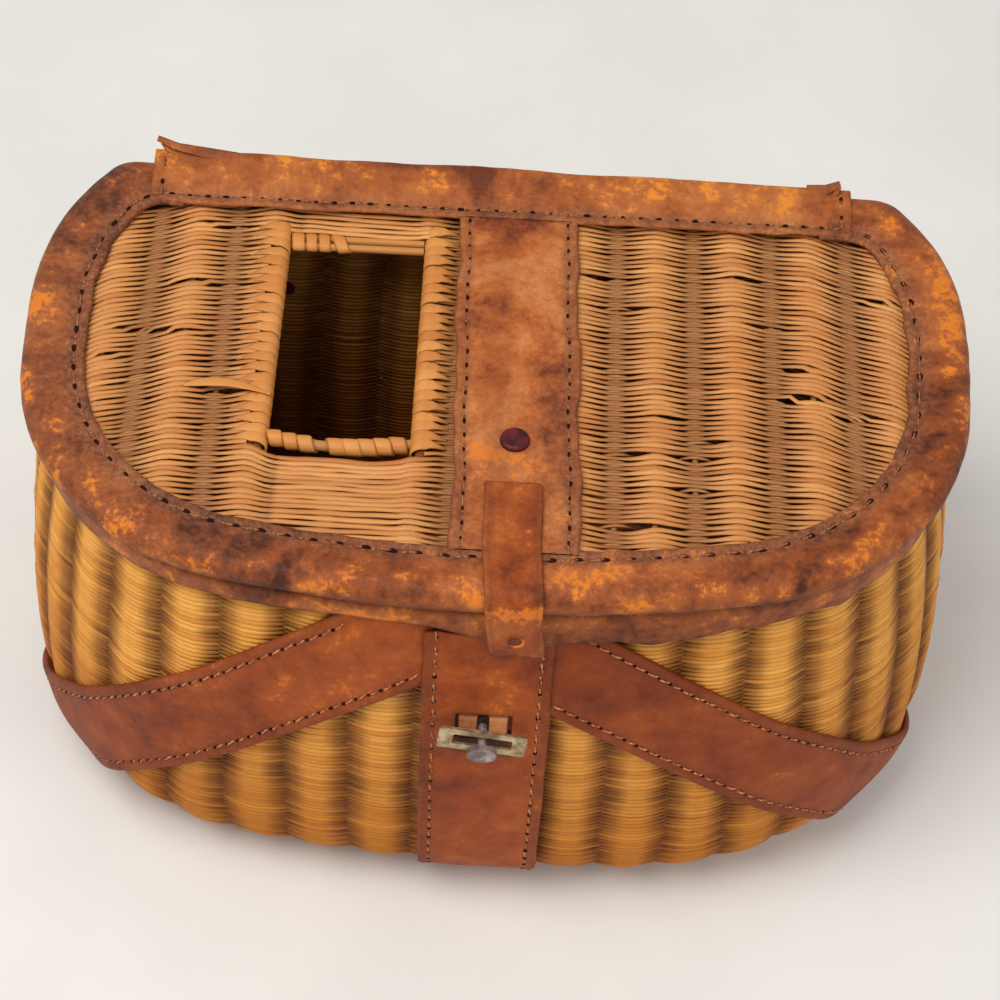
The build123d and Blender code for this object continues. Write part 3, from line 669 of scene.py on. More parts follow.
def insideLimits(y, grow, back):
    # half width of the plan at a depth
    ring, _ = outline(np.linspace(0, halfLoop, 700), grow, back)
    turn = int(np.argmax(ring[:, 0]))
    frontPart = np.interp(y, ring[:turn + 1, 1], ring[:turn + 1, 0], left=-1)
    backPart = np.interp(y, ring[turn:, 1], ring[turn:, 0], right=-1)
    return np.where(y < ring[turn, 1], frontPart, backPart)


# woven body
bodyWeave = {
    "stakes": 40, "samplesPerStake": 5, "rowPitch": 1.14, "strand": (2.85, 1.35, 5), "middle": -2.85, "wave": 2.2,
    "lowest": 1.5, "lowestPoint": 1.75, "paleBelow": 80.0, "slimBelow": 60.0, "parts": 3, "seed": 11}
stakes = bodyWeave["stakes"]
stakePitch = 2 * halfLoop / stakes
heights = np.linspace(0.9, wallTop - 0.4, 900)
run = np.concatenate([[0], np.cumsum(np.hypot(np.diff(heights), np.diff(swell(heights))))])
rowHeights = np.interp(np.arange(bodyWeave["lowest"], run[-1], bodyWeave["rowPitch"]), run, heights)


def weaveBody():
    rng = np.random.default_rng(bodyWeave["seed"])
    samples = stakes * bodyWeave["samplesPerStake"]
    along = np.arange(samples) / samples * 2 * halfLoop
    lines = []
    for row, height in enumerate(rowHeights):
        wave = np.cos(math.pi * (along / stakePitch - 0.5 - row % 2))
        shaped = np.sign(wave) * np.abs(wave) ** 1.15
        crestHighlight = np.clip(wave, 0, 1)
        drift = ripple(place(along, height * 3.0), 60, 5) * 0.4 + ripple(along, 45, 100 + row) * 0.2
        strength = 1 + 0.12 * ripple(along, 120, 40) + 0.05 * rng.normal()
        strength = strength * (0.74 + 0.26 * min(height / bodyWeave["slimBelow"], 1.0))
        out = bodyWeave["middle"] + shaped * bodyWeave["wave"] * strength
        points, normals = wallPoint(along, height + drift, out)
        points[:, 2] = np.maximum(points[:, 2], bodyWeave["lowestPoint"])
        # painted highlight on the crests and painted shade where strands dip between stakes, the shade weaker towards
        # the foot
        crest = 0.2 + 0.16 * ramp(height, bodyWeave["paleBelow"], -60) + 0.7 * crestHighlight**2.2
        crest = crest + 0.9 * np.minimum(wave, 0) + 0.08 * rng.normal()
        inside = np.clip(-0.1 - 0.6 * shaped, 0, 1)
        # the crest term in the tint is a painted highlight; the rest is each strand's own tone
        tint = 0.5 + 0.16 * rng.normal() + 0.12 * ripple(along, 150, 300 + row) + 0.3 * crestHighlight**2 - 0.08
        girth = 0.64 + 0.38 * np.clip(np.abs(shaped) / 0.5, 0, 1) ** 0.8
        crest = np.clip(np.maximum(crest, inside), 0, 1)
        lines.append(guide(points, normals, girth=girth, tint=np.clip(tint, 0, 1), crest=crest))
    third = (len(lines) + 2) // bodyWeave["parts"]
    for part in range(bodyWeave["parts"]):
        nodes = ["basket_weave"] if part == 0 else []
        share = lines[part * third:(part + 1) * third]
        name = f"bodyStrands{part + 1}"
        sweepStrands(name, share, bodyWeave["strand"], "bodyWillow", "basket", "body_willow", *nodes, closed=True)


bodyStakes = {"steps": 16, "rod": (5.6, 2.6, 6), "low": 3.0}


def standStakes():
    lines = []
    z = np.linspace(bodyStakes["low"], wallTop - 0.5, bodyStakes["steps"])
    for index in range(stakes):
        points, normals = wallPoint(np.full(len(z), (index + 0.5) * stakePitch), z, bodyWeave["middle"])
        # a little painted shade on the stakes, which stand behind the strands
        lines.append(guide(points, normals, girth=1.0, tint=0.4, crest=0.7))
    sweepStrands("bodyStakes", lines, bodyStakes["rod"], "stakeWood", "basket", "body_willow")


weaveBody()
standStakes()
print("stage: body woven")

# woven floor: rows from side to side over stakes that run front to back
floorWeave = {
    "rowPitch": 2.2, "strand": (4.2, 2.0, 6), "wave": 1.8, "height": 4.6, "stakePitch": 24.0, "inset": -17.0,
    "fromBack": 4.0, "shortest": 12.0, "seed": 23}


def weaveFloor():
    rng = np.random.default_rng(floorWeave["seed"])
    lines = []
    back = wallBack - floorWeave["fromBack"]
    inset, height, pitch = floorWeave["inset"], floorWeave["height"], floorWeave["stakePitch"]
    for row, depth in enumerate(np.arange(lidFront - inset + 1.5, back - 1.0, floorWeave["rowPitch"])):
        reach = float(insideLimits(depth, inset, back)) + 1.5
        if reach < floorWeave["shortest"]:
            continue
        x = np.linspace(-reach, reach, max(8, int(2 * reach / 4)))
        wave = np.cos(math.pi * (x / pitch + row % 2))
        points = place(x, depth + 0.4 * ripple(x, 60, 500 + row), height + wave * floorWeave["wave"])
        tint = float(np.clip(0.5 + 0.2 * rng.normal(), 0, 1))
        lines.append(guide(points, girth=0.7 + 0.3 * np.abs(wave), tint=tint, crest=0.75))
    for x in np.arange(-6.5, 7) * pitch:
        ys = np.linspace(lidFront, back, 60)
        ys = ys[insideLimits(ys, inset, back) > abs(x)]
        if len(ys) > 3:
            lines.append(guide(place(x, ys, height), girth=0.75, tint=0.4, crest=0.7))
    sweepStrands("floorStrands", lines, floorWeave["strand"], "bodyWillow", "basket", "body_willow")


weaveFloor()
print("stage: floor woven")

# woven lid
# set A crosses high over every second stake, set B over the others and lower
lidWeave = {
    "humpPitch": 31.0, "rowPitch": 1.34, "strand": (2.8, 1.25, 6), "samplesPerHump": 11, "bendFrom": 94.0,
    "bend": 0.0036, "inset": 14.8, "seed": 31}
lidSets = [
    {"middle": 1.75, "wave": 1.25, "girth": 0.62, "swelling": 0.37, "swellPower": 2.6, "flat": 1.7, "calmSwell": 0.62},
    {"middle": -1.5, "wave": -1.8, "girth": 0.4, "swelling": 0.2, "swellPower": 3, "flat": -0.5, "calmSwell": 1.0}]
holeLow = np.array([nodeBox("hole_wrap_left")[0][0], nodeBox("hole_wrap_front")[0][1]])
holeHigh = np.array([nodeBox("hole_wrap_right")[1][0], nodeBox("hole_sticks_back")[1][1]])
stakeX = [np.mean([nodeBox(f"hole_stake_{side}")[i][0] for i in (0, 1)]) for side in ("left", "right")]
# places where rows have parted: x, y, half length, opening
lidGaps = [
    (118, 7, 9, 2.8), (138, -1, 8, 1.5), (118, 22, 8, 1.8), (53, -60, 10, 3.0), (77, -26, 8, 2.2), (76, -41, 7, 2.0),
    (84, -17, 7, 1.8), (54, -25, 7, 1.7), (52, 50, 9, 1.7), (40, 67, 8, 1.7), (154, 60, 8, 1.7), (67, -5, 7, 1.5),
    (104, 45, 8, 1.4), (96, 70, 7, 1.4), (-135, 26, 18, 1.8), (-155, 11, 9, 1.3), (-104, -3, 9, 1.8),
    (-83, -69, 10, 1.8), (-121, 52, 12, 1.5), (-114, 84, 9, 1.2)]


def lidRowDepths(x, depth, row):
    # how far back a row lies along its length
    over = np.maximum(np.abs(x) - lidWeave["bendFrom"], 0)
    y = depth - lidWeave["bend"] * over**2 * np.clip((depth - lidFront) / 90, 0.15, 1)
    y = y + 0.36 * ripple(place(x, depth * 2.5), 34, 7) + 0.22 * ripple(x, 28, 700 + row)
    for gapX, gapY, half, opening in lidGaps:
        away = y - gapY
        y = y + np.sign(away) * opening * 0.55 * bell(x, gapX, half) * bell(away, 0, 5.5)
    # rows crowd together in front of the fish hole and behind it
    under = ramp(x, stakeX[0] - 2, 22) * ramp(x, stakeX[1] + 6, -34)
    push = 4.2 * under * (3 - 2 * under) * ramp(depth, holeLow[1] - 26, 26) * (depth < holeLow[1] + 4)
    behind = ramp(x, stakeX[0] + 2, 50) * ramp(x, stakeX[1] + 20, -20)
    return y - push - 1.6 * behind * (depth > holeHigh[1] - 1)


def weaveLid():
    rng = np.random.default_rng(lidWeave["seed"])
    back, inset, pitch = lidPlanBack, lidWeave["inset"], lidWeave["humpPitch"]
    grid = np.arange(-170, 170.01, pitch / lidWeave["samplesPerHump"])
    rows = {"Back": [], "Front": []}
    # between the sides of the fish hole no stakes lift the rows
    calm = ramp(grid, stakeX[0] + 3, 9) * ramp(grid, stakeX[1] - 2, -8)
    calm = calm * calm * (3 - 2 * calm)
    for row, depth in enumerate(np.arange(lidFront + 15, back - 12, lidWeave["rowPitch"])):
        high = row % 2 == 0
        kind = lidSets[row % 2]
        wave = np.cos(2 * math.pi * grid / pitch)
        own = wave if high else -wave
        swelling = np.maximum((0.5 + 0.5 * own) ** kind["swellPower"], calm * kind["calmSwell"])
        if high:
            # these rows bend sharply over their stakes
            wave = 1 - 2 * np.abs(np.sin(math.pi * grid / pitch)) ** 1.3
            # painted shade away from the crests, much darker on the lower set B
            rowUnshaded = np.maximum(0.665 + 0.265 * own, 0.84 * calm)
        else:
            rowUnshaded = np.maximum(0.5 * ramp(own, 0.1, 0.7), 0.25 * calm)
        z = lidMiddle + (kind["middle"] + kind["wave"] * wave) * (1 - calm) + kind["flat"] * calm
        y = lidRowDepths(grid, depth, row)
        inside = np.abs(grid) < insideLimits(y, -inset, back - inset)
        crossesHole = holeLow[1] + 0.5 < depth < holeHigh[1] + 0.5
        inHole = (grid > stakeX[0] - 1) & (grid < stakeX[1] + 1) & crossesHole
        underStrap = (grid > strapLow[0] + 7) & (grid < strapHigh[0] - 7)
        usable = inside & ~inHole & ~underStrap
        breaks = np.flatnonzero(np.diff(np.concatenate([[0], usable.astype(int), [0]])))
        rowTint = 0.5 + 0.24 * rng.normal()
        for first, end in zip(breaks[::2], breaks[1::2]):
            if end - first < 4:
                continue
            pick = slice(first, end)
            x = grid[pick]
            girth = (kind["girth"] + kind["swelling"] * swelling[pick]) * (1 + 0.15 * ripple(x, 22, 1200 + row))
            tint = np.clip(rowTint + 0.14 * ripple(x, 80, 900 + row), 0, 1)
            line = guide(place(x, y[pick], z[pick]), girth=girth, tint=tint, crest=np.clip(rowUnshaded[pick], 0, 1))
            rows["Back" if depth > (lidFront + back) / 2 else "Front"].append(line)
    for part, lines in rows.items():
        nodes = ["lid_weave"] if part == "Back" else []
        sweepStrands("lidStrands" + part, lines, lidWeave["strand"], "lidWillow", "lid", "lid_willow", *nodes)


lidStakes = {"rod": (2.6, 2.6, 6), "deeper": 1.5, "steps": 24}


def layLidStakes():
    lines = []
    for index in np.arange(-11, 12):
        x = index * lidWeave["humpPitch"] / 2
        if stakeX[0] + 3 < x < stakeX[1] - 3:
            continue
        ys = np.linspace(lidFront + 15, lidPlanBack - 12, lidStakes["steps"])
        ys = ys[insideLimits(ys, -lidWeave["inset"], lidPlanBack - lidWeave["inset"]) > abs(x)]
        if len(ys) > 2:
            # stakes in the furrows lie deeper, with both sets over them
            z = lidMiddle - lidStakes["deeper"] * (index % 2)
            # a fixed share of painted shade on the stakes, which lie under the rows
            lines.append(guide(place(x, ys, z), girth=1.0, tint=0.3, crest=0.55))
    sweepStrands("lidStakes", lines, lidStakes["rod"], "stakeWood", "lid", "lid_willow")


weaveLid()
layLidStakes()
print("stage: lid woven")

# edges of the fish hole
holeEdge = {
    "pitch": 5.1, "cane": (5.7, 0.9, 8), "reach": {"Left": 12.0, "Right": 10.0}, "frontPitch": 5.9,
    "frontCane": (6.3, 0.9, 8), "missingTurn": 3, "bar": (4.2, 4.2, 10), "backCane": (5.4, 0.8, 8),
    "backTurns": (2.8, 8.2, 13.4, 20.5), "looseLength": 34.0, "seed": 5}
wrapLow, wrapHigh = nodeBox("hole_wrap_left")
wrapRadius = (wrapHigh[0] - wrapLow[0]) / 2 - holeEdge["cane"][1] / 2


def wrapSide(rng, side, x0, away):
    # cane from beside the stake, over it, round the hole's side and back below
    lines = []
    steps = 15
    reach = holeEdge["reach"][side]
    turns = np.radians(np.linspace(118, -128, steps))
    for y in np.arange(holeLow[1] + 3, holeHigh[1] + 1.5, holeEdge["pitch"]):
        y = y + rng.uniform(-0.5, 0.5)
        slant = rng.uniform(0.2, 1.8)
        size = rng.uniform(0.9, 1.08)
        ring = place(x0 - away * wrapRadius * np.cos(turns), y, lidMiddle + wrapRadius * 1.02 * np.sin(turns))
        ring[:, 1] += np.linspace(slant, -slant, steps)
        leadX = x0 + away * reach * np.array([1, 0.78, 0.55, 0.34])
        leadY = y + slant + rng.uniform(-0.5, 0.5) * np.array([1, 0.7, 0.3, 0])
        lead = place(leadX, leadY, lidMiddle + np.array([0.9, 1.9, 2.9, 3.6]))
        tail = place(x0 + away * reach * np.array([0.4, 0.8]), y - slant, lidMiddle + np.array([-2.4, -1.2]))
        points = np.concatenate([lead, ring, tail])
        outward = np.cross(np.gradient(points, axis=0), [0.0, 1.0, 0.0]) * -away
        outward /= np.linalg.norm(outward, axis=1)[:, None]
        girth = np.concatenate([[0.2, 0.34, 0.52, 0.8], np.full(steps, 1.0), [0.6, 0.35]]) * size
        tint = float(np.clip(0.6 + 0.25 * rng.normal(), 0, 1))
        # painted shade where the cane comes up between the rows and under the hole's edge
        crest = np.concatenate([[0.3, 0.5, 0.65, 0.8], np.full(9, 1.0), np.full(8, 0.5)])
        lines.append(guide(points, outward, girth=girth, tint=tint, crest=crest))
    sweepStrands("holeWrap" + side, lines, holeEdge["cane"], "caneWillow", "lid", "cane", "hole_wrap_" + side.lower())


def wrapFront(rng):
    # cane wound round the sagging front bar, with one turn missing
    low, high = nodeBox("hole_wrap_front")
    radius = (high[2] - low[2]) / 2 - holeEdge["frontCane"][1] / 2
    middleY = (low[1] + high[1]) / 2

    def barY(x):
        # the bar bends forward between its ends
        t = (x - low[0]) / (high[0] - low[0])
        return middleY + (4.2 - 3.4 * np.sin(math.pi * np.clip(t, 0, 1)) ** 0.8 - 0.6 * t)

    x = np.linspace(low[0] - 1, high[0] + 1, 20)
    line = guide(place(x, barY(x), lidMiddle), girth=1.0, tint=0.5, crest=0.8)
    sweepStrands("holeBar", [line], holeEdge["bar"], "stakeWood", "lid", "hoop_wood", "hole_bar_front")
    lines = []
    turns = np.radians(np.linspace(-30, 342, 20))
    for index, x in enumerate(np.arange(low[0] + 2.9, high[0] - 1.5, holeEdge["frontPitch"])):
        if index == holeEdge["missingTurn"]:
            continue
        lean = rng.uniform(4.2, 6.4)
        shift = np.linspace(-lean, lean, 20) * 0.5
        points = place(x + shift, barY(x) + radius * np.cos(turns), lidMiddle + radius * np.sin(turns))
        girth = rng.uniform(0.86, 1.06)
        tint = float(np.clip(0.6 + 0.2 * rng.normal(), 0, 1))
        lines.append(guide(points, place(0.0, np.cos(turns), np.sin(turns)), girth=girth, tint=tint, crest=1.0))
    sweepStrands("holeWrapFront", lines, holeEdge["frontCane"], "caneWillow", "lid", "cane", "hole_wrap_front")


def wrapBack(rng):
    # turns that are left on the back sticks, half undone, and the loose end
    low, high = nodeBox("hole_sticks_back")
    middleY, middleZ = (low[1] + high[1]) / 2, (low[2] + high[2]) / 2
    across, deep = (high[1] - low[1]) / 2 + 0.5, (high[2] - low[2]) / 2 + 0.6
    lines = []
    turns = np.radians(np.linspace(-40, 320, 22))
    for x in holeEdge["backTurns"]:
        lean = 2.0 if x < 15 else 8.0
        shift = np.linspace(-lean, lean, 22) * 0.5
        points = place(low[0] + x + shift, middleY + across * np.cos(turns), middleZ + deep * np.sin(turns))
        girth, tint = rng.uniform(0.85, 1.0), rng.uniform(0.2, 0.6)
        lines.append(guide(points, place(0.0, np.cos(turns), np.sin(turns)), girth=girth, tint=tint, crest=0.9))
    # the loose end is a flat pointed strip lying on the rows to the left
    startX, startY, startZ = stakeX[0] + 3.4, -6.0, lidMiddle + wrapRadius + 0.3
    t = np.linspace(0, 1, 16)
    points = place(
        startX - holeEdge["looseLength"] * t, startY + 4.5 * np.sin(t * 2.2) - 0.5 * t,
        startZ + 1.5 * np.sin(t * 3.1) - 1.2 * t)
    girth = 0.3 + 1.15 * np.sin(np.clip(t * 1.25 + 0.35, 0, 3.14)) ** 1.5 * (1 - t**2.5)
    lines.append(guide(points, place(0.0, 0.5 - 0.6 * t, 1.0), girth=girth, tint=0.7, crest=1.0))
    sweepStrands("holeWrapBack", lines, holeEdge["backCane"], "caneWillow", "lid", "cane")


holeRandom = np.random.default_rng(holeEdge["seed"])
wrapSide(holeRandom, "Left", stakeX[0], -1)
wrapSide(holeRandom, "Right", stakeX[1], 1)
wrapFront(holeRandom)
wrapBack(holeRandom)
print("stage: fish hole edged")

# leather binding round the lid
binding = {
    "width": 23.6, "stitchFromEdge": 4.3, "steps": 340, "rollSteps": 13, "rollAngle": 78.0, "sideOverhang": 1.5,
    "cornerOverhang": 2.0, "overhangFade": 10.0, "largestBump": 0.45, "shade": 1.1, "leftDust": 0.4}


def sewingStyle(pitch, thread, hole, material):
    # thread: length, radius, lift, slant, seed; hole: length, width, seed
    return {
        "Pitch": pitch, "thread": dict(zip(("Length", "Thread", "Lift", "Slant", "Seed"), thread)),
        "hole": dict(zip(("Length", "Width", "Seed"), hole)), "material": material}


bindingSewing = sewingStyle(0.0098, (0.0078, 0.00048, 0.0005, 0.05, 2), (0.0038, 0.0028, 4), "dullThread")


def bindingSection():
    # from the upper inner edge, over the roll, to the lower inner edge: inset and height
    top, bottom = lidHigh[2], lidLow[2]
    middle, roll = (top + bottom) / 2, (top - bottom) / 2
    above, below = lidWeaveHigh[2], lidWeaveLow[2]
    width = binding["width"]
    stitch = width - binding["stitchFromEdge"]
    angles = np.radians(np.linspace(binding["rollAngle"], -binding["rollAngle"], binding["rollSteps"]))
    upper = [
        (width, above + 0.5), (width - 0.3, above + 1.9), (width - 1.6, above + 2.4), (stitch + 1.1, above + 2.2),
        (stitch, above + 1.5), (stitch - 1.1, above + 2.2), (stitch - 3.0, top - 0.45), (stitch - 6.0, top - 0.1),
        (9.0, top), (7.6, top)]
    rolled = [(roll - roll * math.cos(a), middle + roll * math.sin(a)) for a in angles]
    lower = [
        (7.6, bottom), (10.5, bottom), (stitch - 4, bottom + 0.2), (stitch, below - 1.9), (width - 0.6, below - 2.0),
        (width, below - 0.4)]
    closing = [(width - 3, below + 0.3), (width - 9, lidMiddle), (width - 3, above - 0.3)]
    return np.array(upper + rolled + lower + closing), len(upper)


def bindLid():
    # the loop without the hinge strip's stretch along the back
    ends = np.interp([-stripLow[0], stripHigh[0]], [0.0, arcLengths[5]], [halfLoop, halfLoop - arcLengths[5]])
    along = np.linspace(-ends[0], ends[1], binding["steps"])
    section, upper = bindingSection()
    rollEnd = upper + binding["rollSteps"]
    stitch = binding["width"] - binding["stitchFromEdge"]
    middle, roll = (lidHigh[2] + lidLow[2]) / 2, (lidHigh[2] - lidLow[2]) / 2
    rings = np.zeros((len(along), len(section), 3))
    waver = ripple(along, 26, 60) * 0.45 + ripple(along, 9, 61) * 0.2
    # the roll hangs over a little at the sides and more at the back corners
    edge = outline(along, 0, lidPlanBack)[0]
    overhang = binding["sideOverhang"] * np.clip(np.abs(edge[:, 0]) / 170, 0, 1) ** 3
    overhang = overhang + binding["cornerOverhang"] * ramp(edge[:, 1], 45, 45)
    for k, (inset, z) in enumerate(section):
        fade = np.clip(1 - inset / binding["overhangFade"], 0, 1) * (k < rollEnd)
        inward = inset + waver * (inset > binding["width"] - 6) - overhang * fade
        rings[:, k, :2] = outline(along, -inward, lidPlanBack - inward)[0]
        rings[:, k, 2] = z
    # bumps stand away from the roll's middle line
    bumps = ripple(rings, 34, 62) * 0.35 + ripple(rings, 11, 63) * 0.16
    outer = slice(3, rollEnd)
    core = outline(along, -12.0, lidPlanBack - 12.0)[0]
    direction = rings[:, outer] - place(core[:, 0], core[:, 1], middle)[:, None, :]
    direction /= np.linalg.norm(direction, axis=-1, keepdims=True)
    rings[:, outer] += direction * np.minimum(bumps[:, outer, None], binding["largestBump"])
    order = np.arange(len(section))
    dust = ramp(section[:, 0], stitch - 5.5, 5.0) * 0.9
    dusty = binding["leftDust"] * ramp(edge[:, 0], -60, -110)
    wear = np.where((order >= upper - 2) & (order < upper + 11), 1.0, 0.35)
    shade = binding["shade"] * ramp(section[:, 1], middle + 1.5, -roll) * (order >= upper)
    piece = sweepRings("lidBinding", rings, dust=np.clip(dust + dusty[:, None], 0, 1), wear=wear, shade=shade)
    dress(piece, "edgeLeather", "lid", "edge_leather", "lid_binding")
    seam = outline(along, -stitch, lidPlanBack - stitch)[0][4:-4]
    line = guide(place(seam[:, 0], seam[:, 1], lidWeaveHigh[2] + 1.75))
    sewing("bindingSewing", [line], bindingSewing, "lid", "edge_leather")


bindLid()
print("stage: lid bound")

# leather folded over the mouth; the lower edge's height changes along the front
rimEdge = {
    "step": 3.0, "overBands": 1.1,
    "x": [-200, -90, -61, -40, -20, -8, 2, 23, 37, 50, 64, 84, 106, 122, 134, 146, 200],
    "height": [177, 179, 181, 181, 180, 177, 174, 173, 174, 175, 172, 175.5, 176.5, 177.5, 175.5, 177.5, 177]}


def foldRim():
    along = np.arange(0, 2 * halfLoop, rimEdge["step"])
    flat, _ = outline(along, 0, wallBack)
    low = np.interp(flat[:, 0], rimEdge["x"], rimEdge["height"])
    inner = rimLow[2]
    low = np.where(flat[:, 1] > 20, inner, low) + ripple(along, 22, 71) * 0.5
    overBands = ramp(np.abs(flat[:, 0]), 100, -12) * (flat[:, 1] < 0) * rimEdge["overBands"]
    # each place of the section: height, and how far out from the weave
    section = [(low, 0.2 + overBands), (low + 0.6, 2.6 + overBands)]
    for f in (0.04, 0.25, 0.5, 0.75, 0.93):
        section.append((low + (mouthTop - 1.6 - low) * f, 2.7 + 0.5 * math.sin(math.pi * f) + overBands * (1 - f)))
    for drop, out in ((-1.0, 1.6), (0.0, -0.6), (0.0, -3.6), (0.0, -7.6), (-1.2, -9.4)):
        section.append((mouthTop + drop, out))
    for f, out in ((0.5, -9.6), (0.0, -9.5), (0.0, -7.2)):
        section.append((inner + (mouthTop - inner) * f, out))
    section += [(mouthTop - 3.0, -7.0), (mouthTop - 3.0, -0.3)]
    rings = []
    for z, out in section:
        uneven = 0.25 * ripple(place(along, z), 20, 72) * (out > 1)
        rings.append(wallPoint(along, z, out + uneven)[0])
    rings = np.stack(rings, 1)
    rest = len(section) - 2
    dust, shade = [0.5, 0.35] + [0.1] * rest, [0.5, 0.3] + [0.0] * rest
    piece = sweepRings("rimLeather", rings, closedPath=True, dust=dust, shade=shade, wear=0.75)
    dress(piece, "edgeLeather", "basket", "edge_leather", "rim_band")


foldRim()

# the two slanted bands on the front
bands = {
    "left": {"height": 194.0, "side": -1, "shade": 0.0, "dust": 0.1, "highest": 182.5},
    "right": {"height": 183.0, "side": 1, "shade": 0.36, "dust": 0.0, "highest": 179.0},
    "width": 43.3, "thickness": 2.5, "slopeAcross": 0.75, "slopeBack": 0.6, "stitchInset": 4.6, "farEnd": 345.0,
    "step": 2.2, "lowest": 2.6, "rounds": 14}
bandSewing = sewingStyle(0.0059, (0.0044, 0.00038, 0.0003, 0.2, 7), (0.0018, 0.0013, 8), "paleThread")


def frontAlong(x):
    # place along the loop for an x on the front arc
    return np.sign(x) * np.arcsin(np.abs(x) / frontRadius) * frontRadius


def layBand(name, node, style):
    side = style["side"]
    edgeX = panelLow[0] - 0.3 if side < 0 else panelHigh[0] + 0.3
    start = abs(frontAlong(edgeX)) - 4.0
    along = np.arange(start, bands["farEnd"], bands["step"])
    seams = (-bands["width"] / 2 + bands["stitchInset"], bands["width"] / 2 - bands["stitchInset"])
    across, height, dust = strapSection(bands["width"], bands["thickness"], seams, 0.55, 0.35, 3.9, 30)
    stretch = math.sqrt(1 + bands["slopeAcross"] ** 2 + bands["slopeBack"] ** 2)
    rings = np.zeros((len(along), len(across), 3))
    normalsAt = {}
    for k, (v, out) in enumerate(zip(across, height)):
        # the band's middle line is where a slanted plane meets the wall
        z = np.full(len(along), 90.0)
        waver = 0.5 * ripple(along, 45, 80 + side) * (abs(v) > 14)
        for _ in range(bands["rounds"]):
            points, _ = wallPoint(side * along, np.clip(z, 2.0, 186.0), out)
            fall = side * bands["slopeAcross"] * points[:, 0] + bands["slopeBack"] * (points[:, 1] - lidFront)
            z = 0.5 * z + 0.5 * (style["height"] - fall + (v + waver) * stretch)
        tuck = 1.5 * ramp(along, start + 4.5, -3.0) + 1.2 * ramp(z, 171, 6)
        z = np.clip(z, bands["lowest"], style["highest"])
        lift = out + 0.3 + 0.3 * ripple(place(along, z), 30, 83) - tuck
        rings[:, k], normalsAt[k] = wallPoint(side * along, z, np.maximum(lift, 0.1 if out < 1 else 0.9))
    live = rings[:, :, 2].max(1) > 4.0
    rings = rings[live]
    shade = np.clip(dust * 0.6 + style["shade"], 0, 1)
    piece = sweepRings(name, rings, dust=dust * 0.3 + style["dust"], shade=shade, wear=0.35)
    dress(piece, "panelLeather", "basket", "panel_leather", node)
    lines = []
    for seam in seams:
        k = int(np.argmin(np.abs(across[:32] - seam)))
        good = (rings[:, k, 2] > 5) & (rings[:, k, 2] < 174) & (along[live] > start + 4.5)
        normals = normalsAt[k][live][good]
        lines.append(guide(rings[good, k] + normals * 0.25, normals))
    sewing(name + "Sewing", lines, bandSewing, "basket", "panel_leather")


layBand("leftBand", "left_band", bands["left"])
layBand("rightBand", "right_band", bands["right"])

# the upright panel on the front
frontPanel = {
    "thickness": 2.8, "sheet": 0.0024, "seam": 4.6, "window": (-9.5, 12.5, 121.0, 135.0), "columns": (9, 14, 11),
    "rows": (74, 9, 27), "edgeRaise": 0.45, "edgeWidth": 3.4, "shadowX": 1.5, "shadowZ": 118.0, "stain": 0.92}
panelSewing = sewingStyle(0.0066, (0.0048, 0.00042, 0.0003, 0.16, 9), (0.0022, 0.0018, 10), "paleThread")


def panelX(x, z):
    # the panel narrows a little downwards
    middle = (panelLow[0] + panelHigh[0]) / 2
    return middle + (x - middle) * (0.955 + 0.045 * z / 176) + 0.9 * (z / 176 - 0.5)


def panelTuck(z):
    # the panel is drawn in towards its foot
    return 0.8 * ramp(z, 80, -40) + 1.2 * ramp(z, 30, -22)


def stretches(limits, counts):
    # places between limits, each stretch with its own number of them
    parts = [np.linspace(a, b, count) for a, b, count in zip(limits, limits[1:], counts)]
    return np.concatenate([parts[0]] + [part[1:] for part in parts[1:]])


def layPanel():
    left, right, windowLow, windowHigh = frontPanel["window"]
    low, high = panelLow[2], panelHigh[2]
    xs = stretches((panelLow[0], left, right, panelHigh[0]), frontPanel["columns"])
    zs = stretches((low, windowLow, windowHigh, high), frontPanel["rows"])
    gridX, gridZ = np.meshgrid(xs, zs)
    edge = np.minimum(gridX - panelLow[0], panelHigh[0] - gridX)
    wavy = panelX(gridX + 0.35 * ripple(gridZ[..., None], 30, 90) * (edge < 4.5), gridZ)
    lift = 0.2 * ripple(place(gridX, gridZ), 24, 91) - 0.5 * bell(edge, frontPanel["seam"], 1.0)
    lift = lift + frontPanel["edgeRaise"] * (edge < frontPanel["edgeWidth"]) - 0.7 * bell(edge, 0, 0.5)
    out = frontPanel["thickness"] + 0.45 + (lift - panelTuck(gridZ))
    points, _ = wallPoint(frontAlong(wavy), gridZ, out)
    middleX, middleZ = (xs[1:] + xs[:-1]) / 2, (zs[1:] + zs[:-1]) / 2
    faces = sheetFaces(
        len(zs), len(xs), lambda r, c: not (left < middleX[c] < right and windowLow < middleZ[r] < windowHigh))
    # painted shadow on the leather behind the brass hasp plate
    stain = np.exp(-(((gridX - frontPanel["shadowX"]) / 13.0) ** 8)) * frontPanel["stain"]
    stain = stain * np.exp(-(((gridZ - frontPanel["shadowZ"] + 0.12 * gridX) / 5.5) ** 4))
    piece = makeMesh("frontPanel", points, faces, values={
        "dust": 0.4 * bell(edge, 0, 4.0).ravel(), "shade": 0.55 * bell(edge, 2, 2.4).ravel(), "stain": stain.ravel(),
        "wear": np.full(edge.size, 0.3)})
    thicken(piece, frontPanel["sheet"])
    dress(piece, "panelLeather", "basket", "panel_leather", "front_panel")
    lines = []
    z = np.linspace(low + 3, high - 2, 60)
    for x in (panelLow[0] + frontPanel["seam"], panelHigh[0] - frontPanel["seam"]):
        lines.append(guide(*wallPoint(frontAlong(panelX(x, z)), z, frontPanel["thickness"] + 0.15 - panelTuck(z))))
    sewing("panelSewing", lines, panelSewing, "basket", "panel_leather")


layPanel()
print("stage: front leather laid")

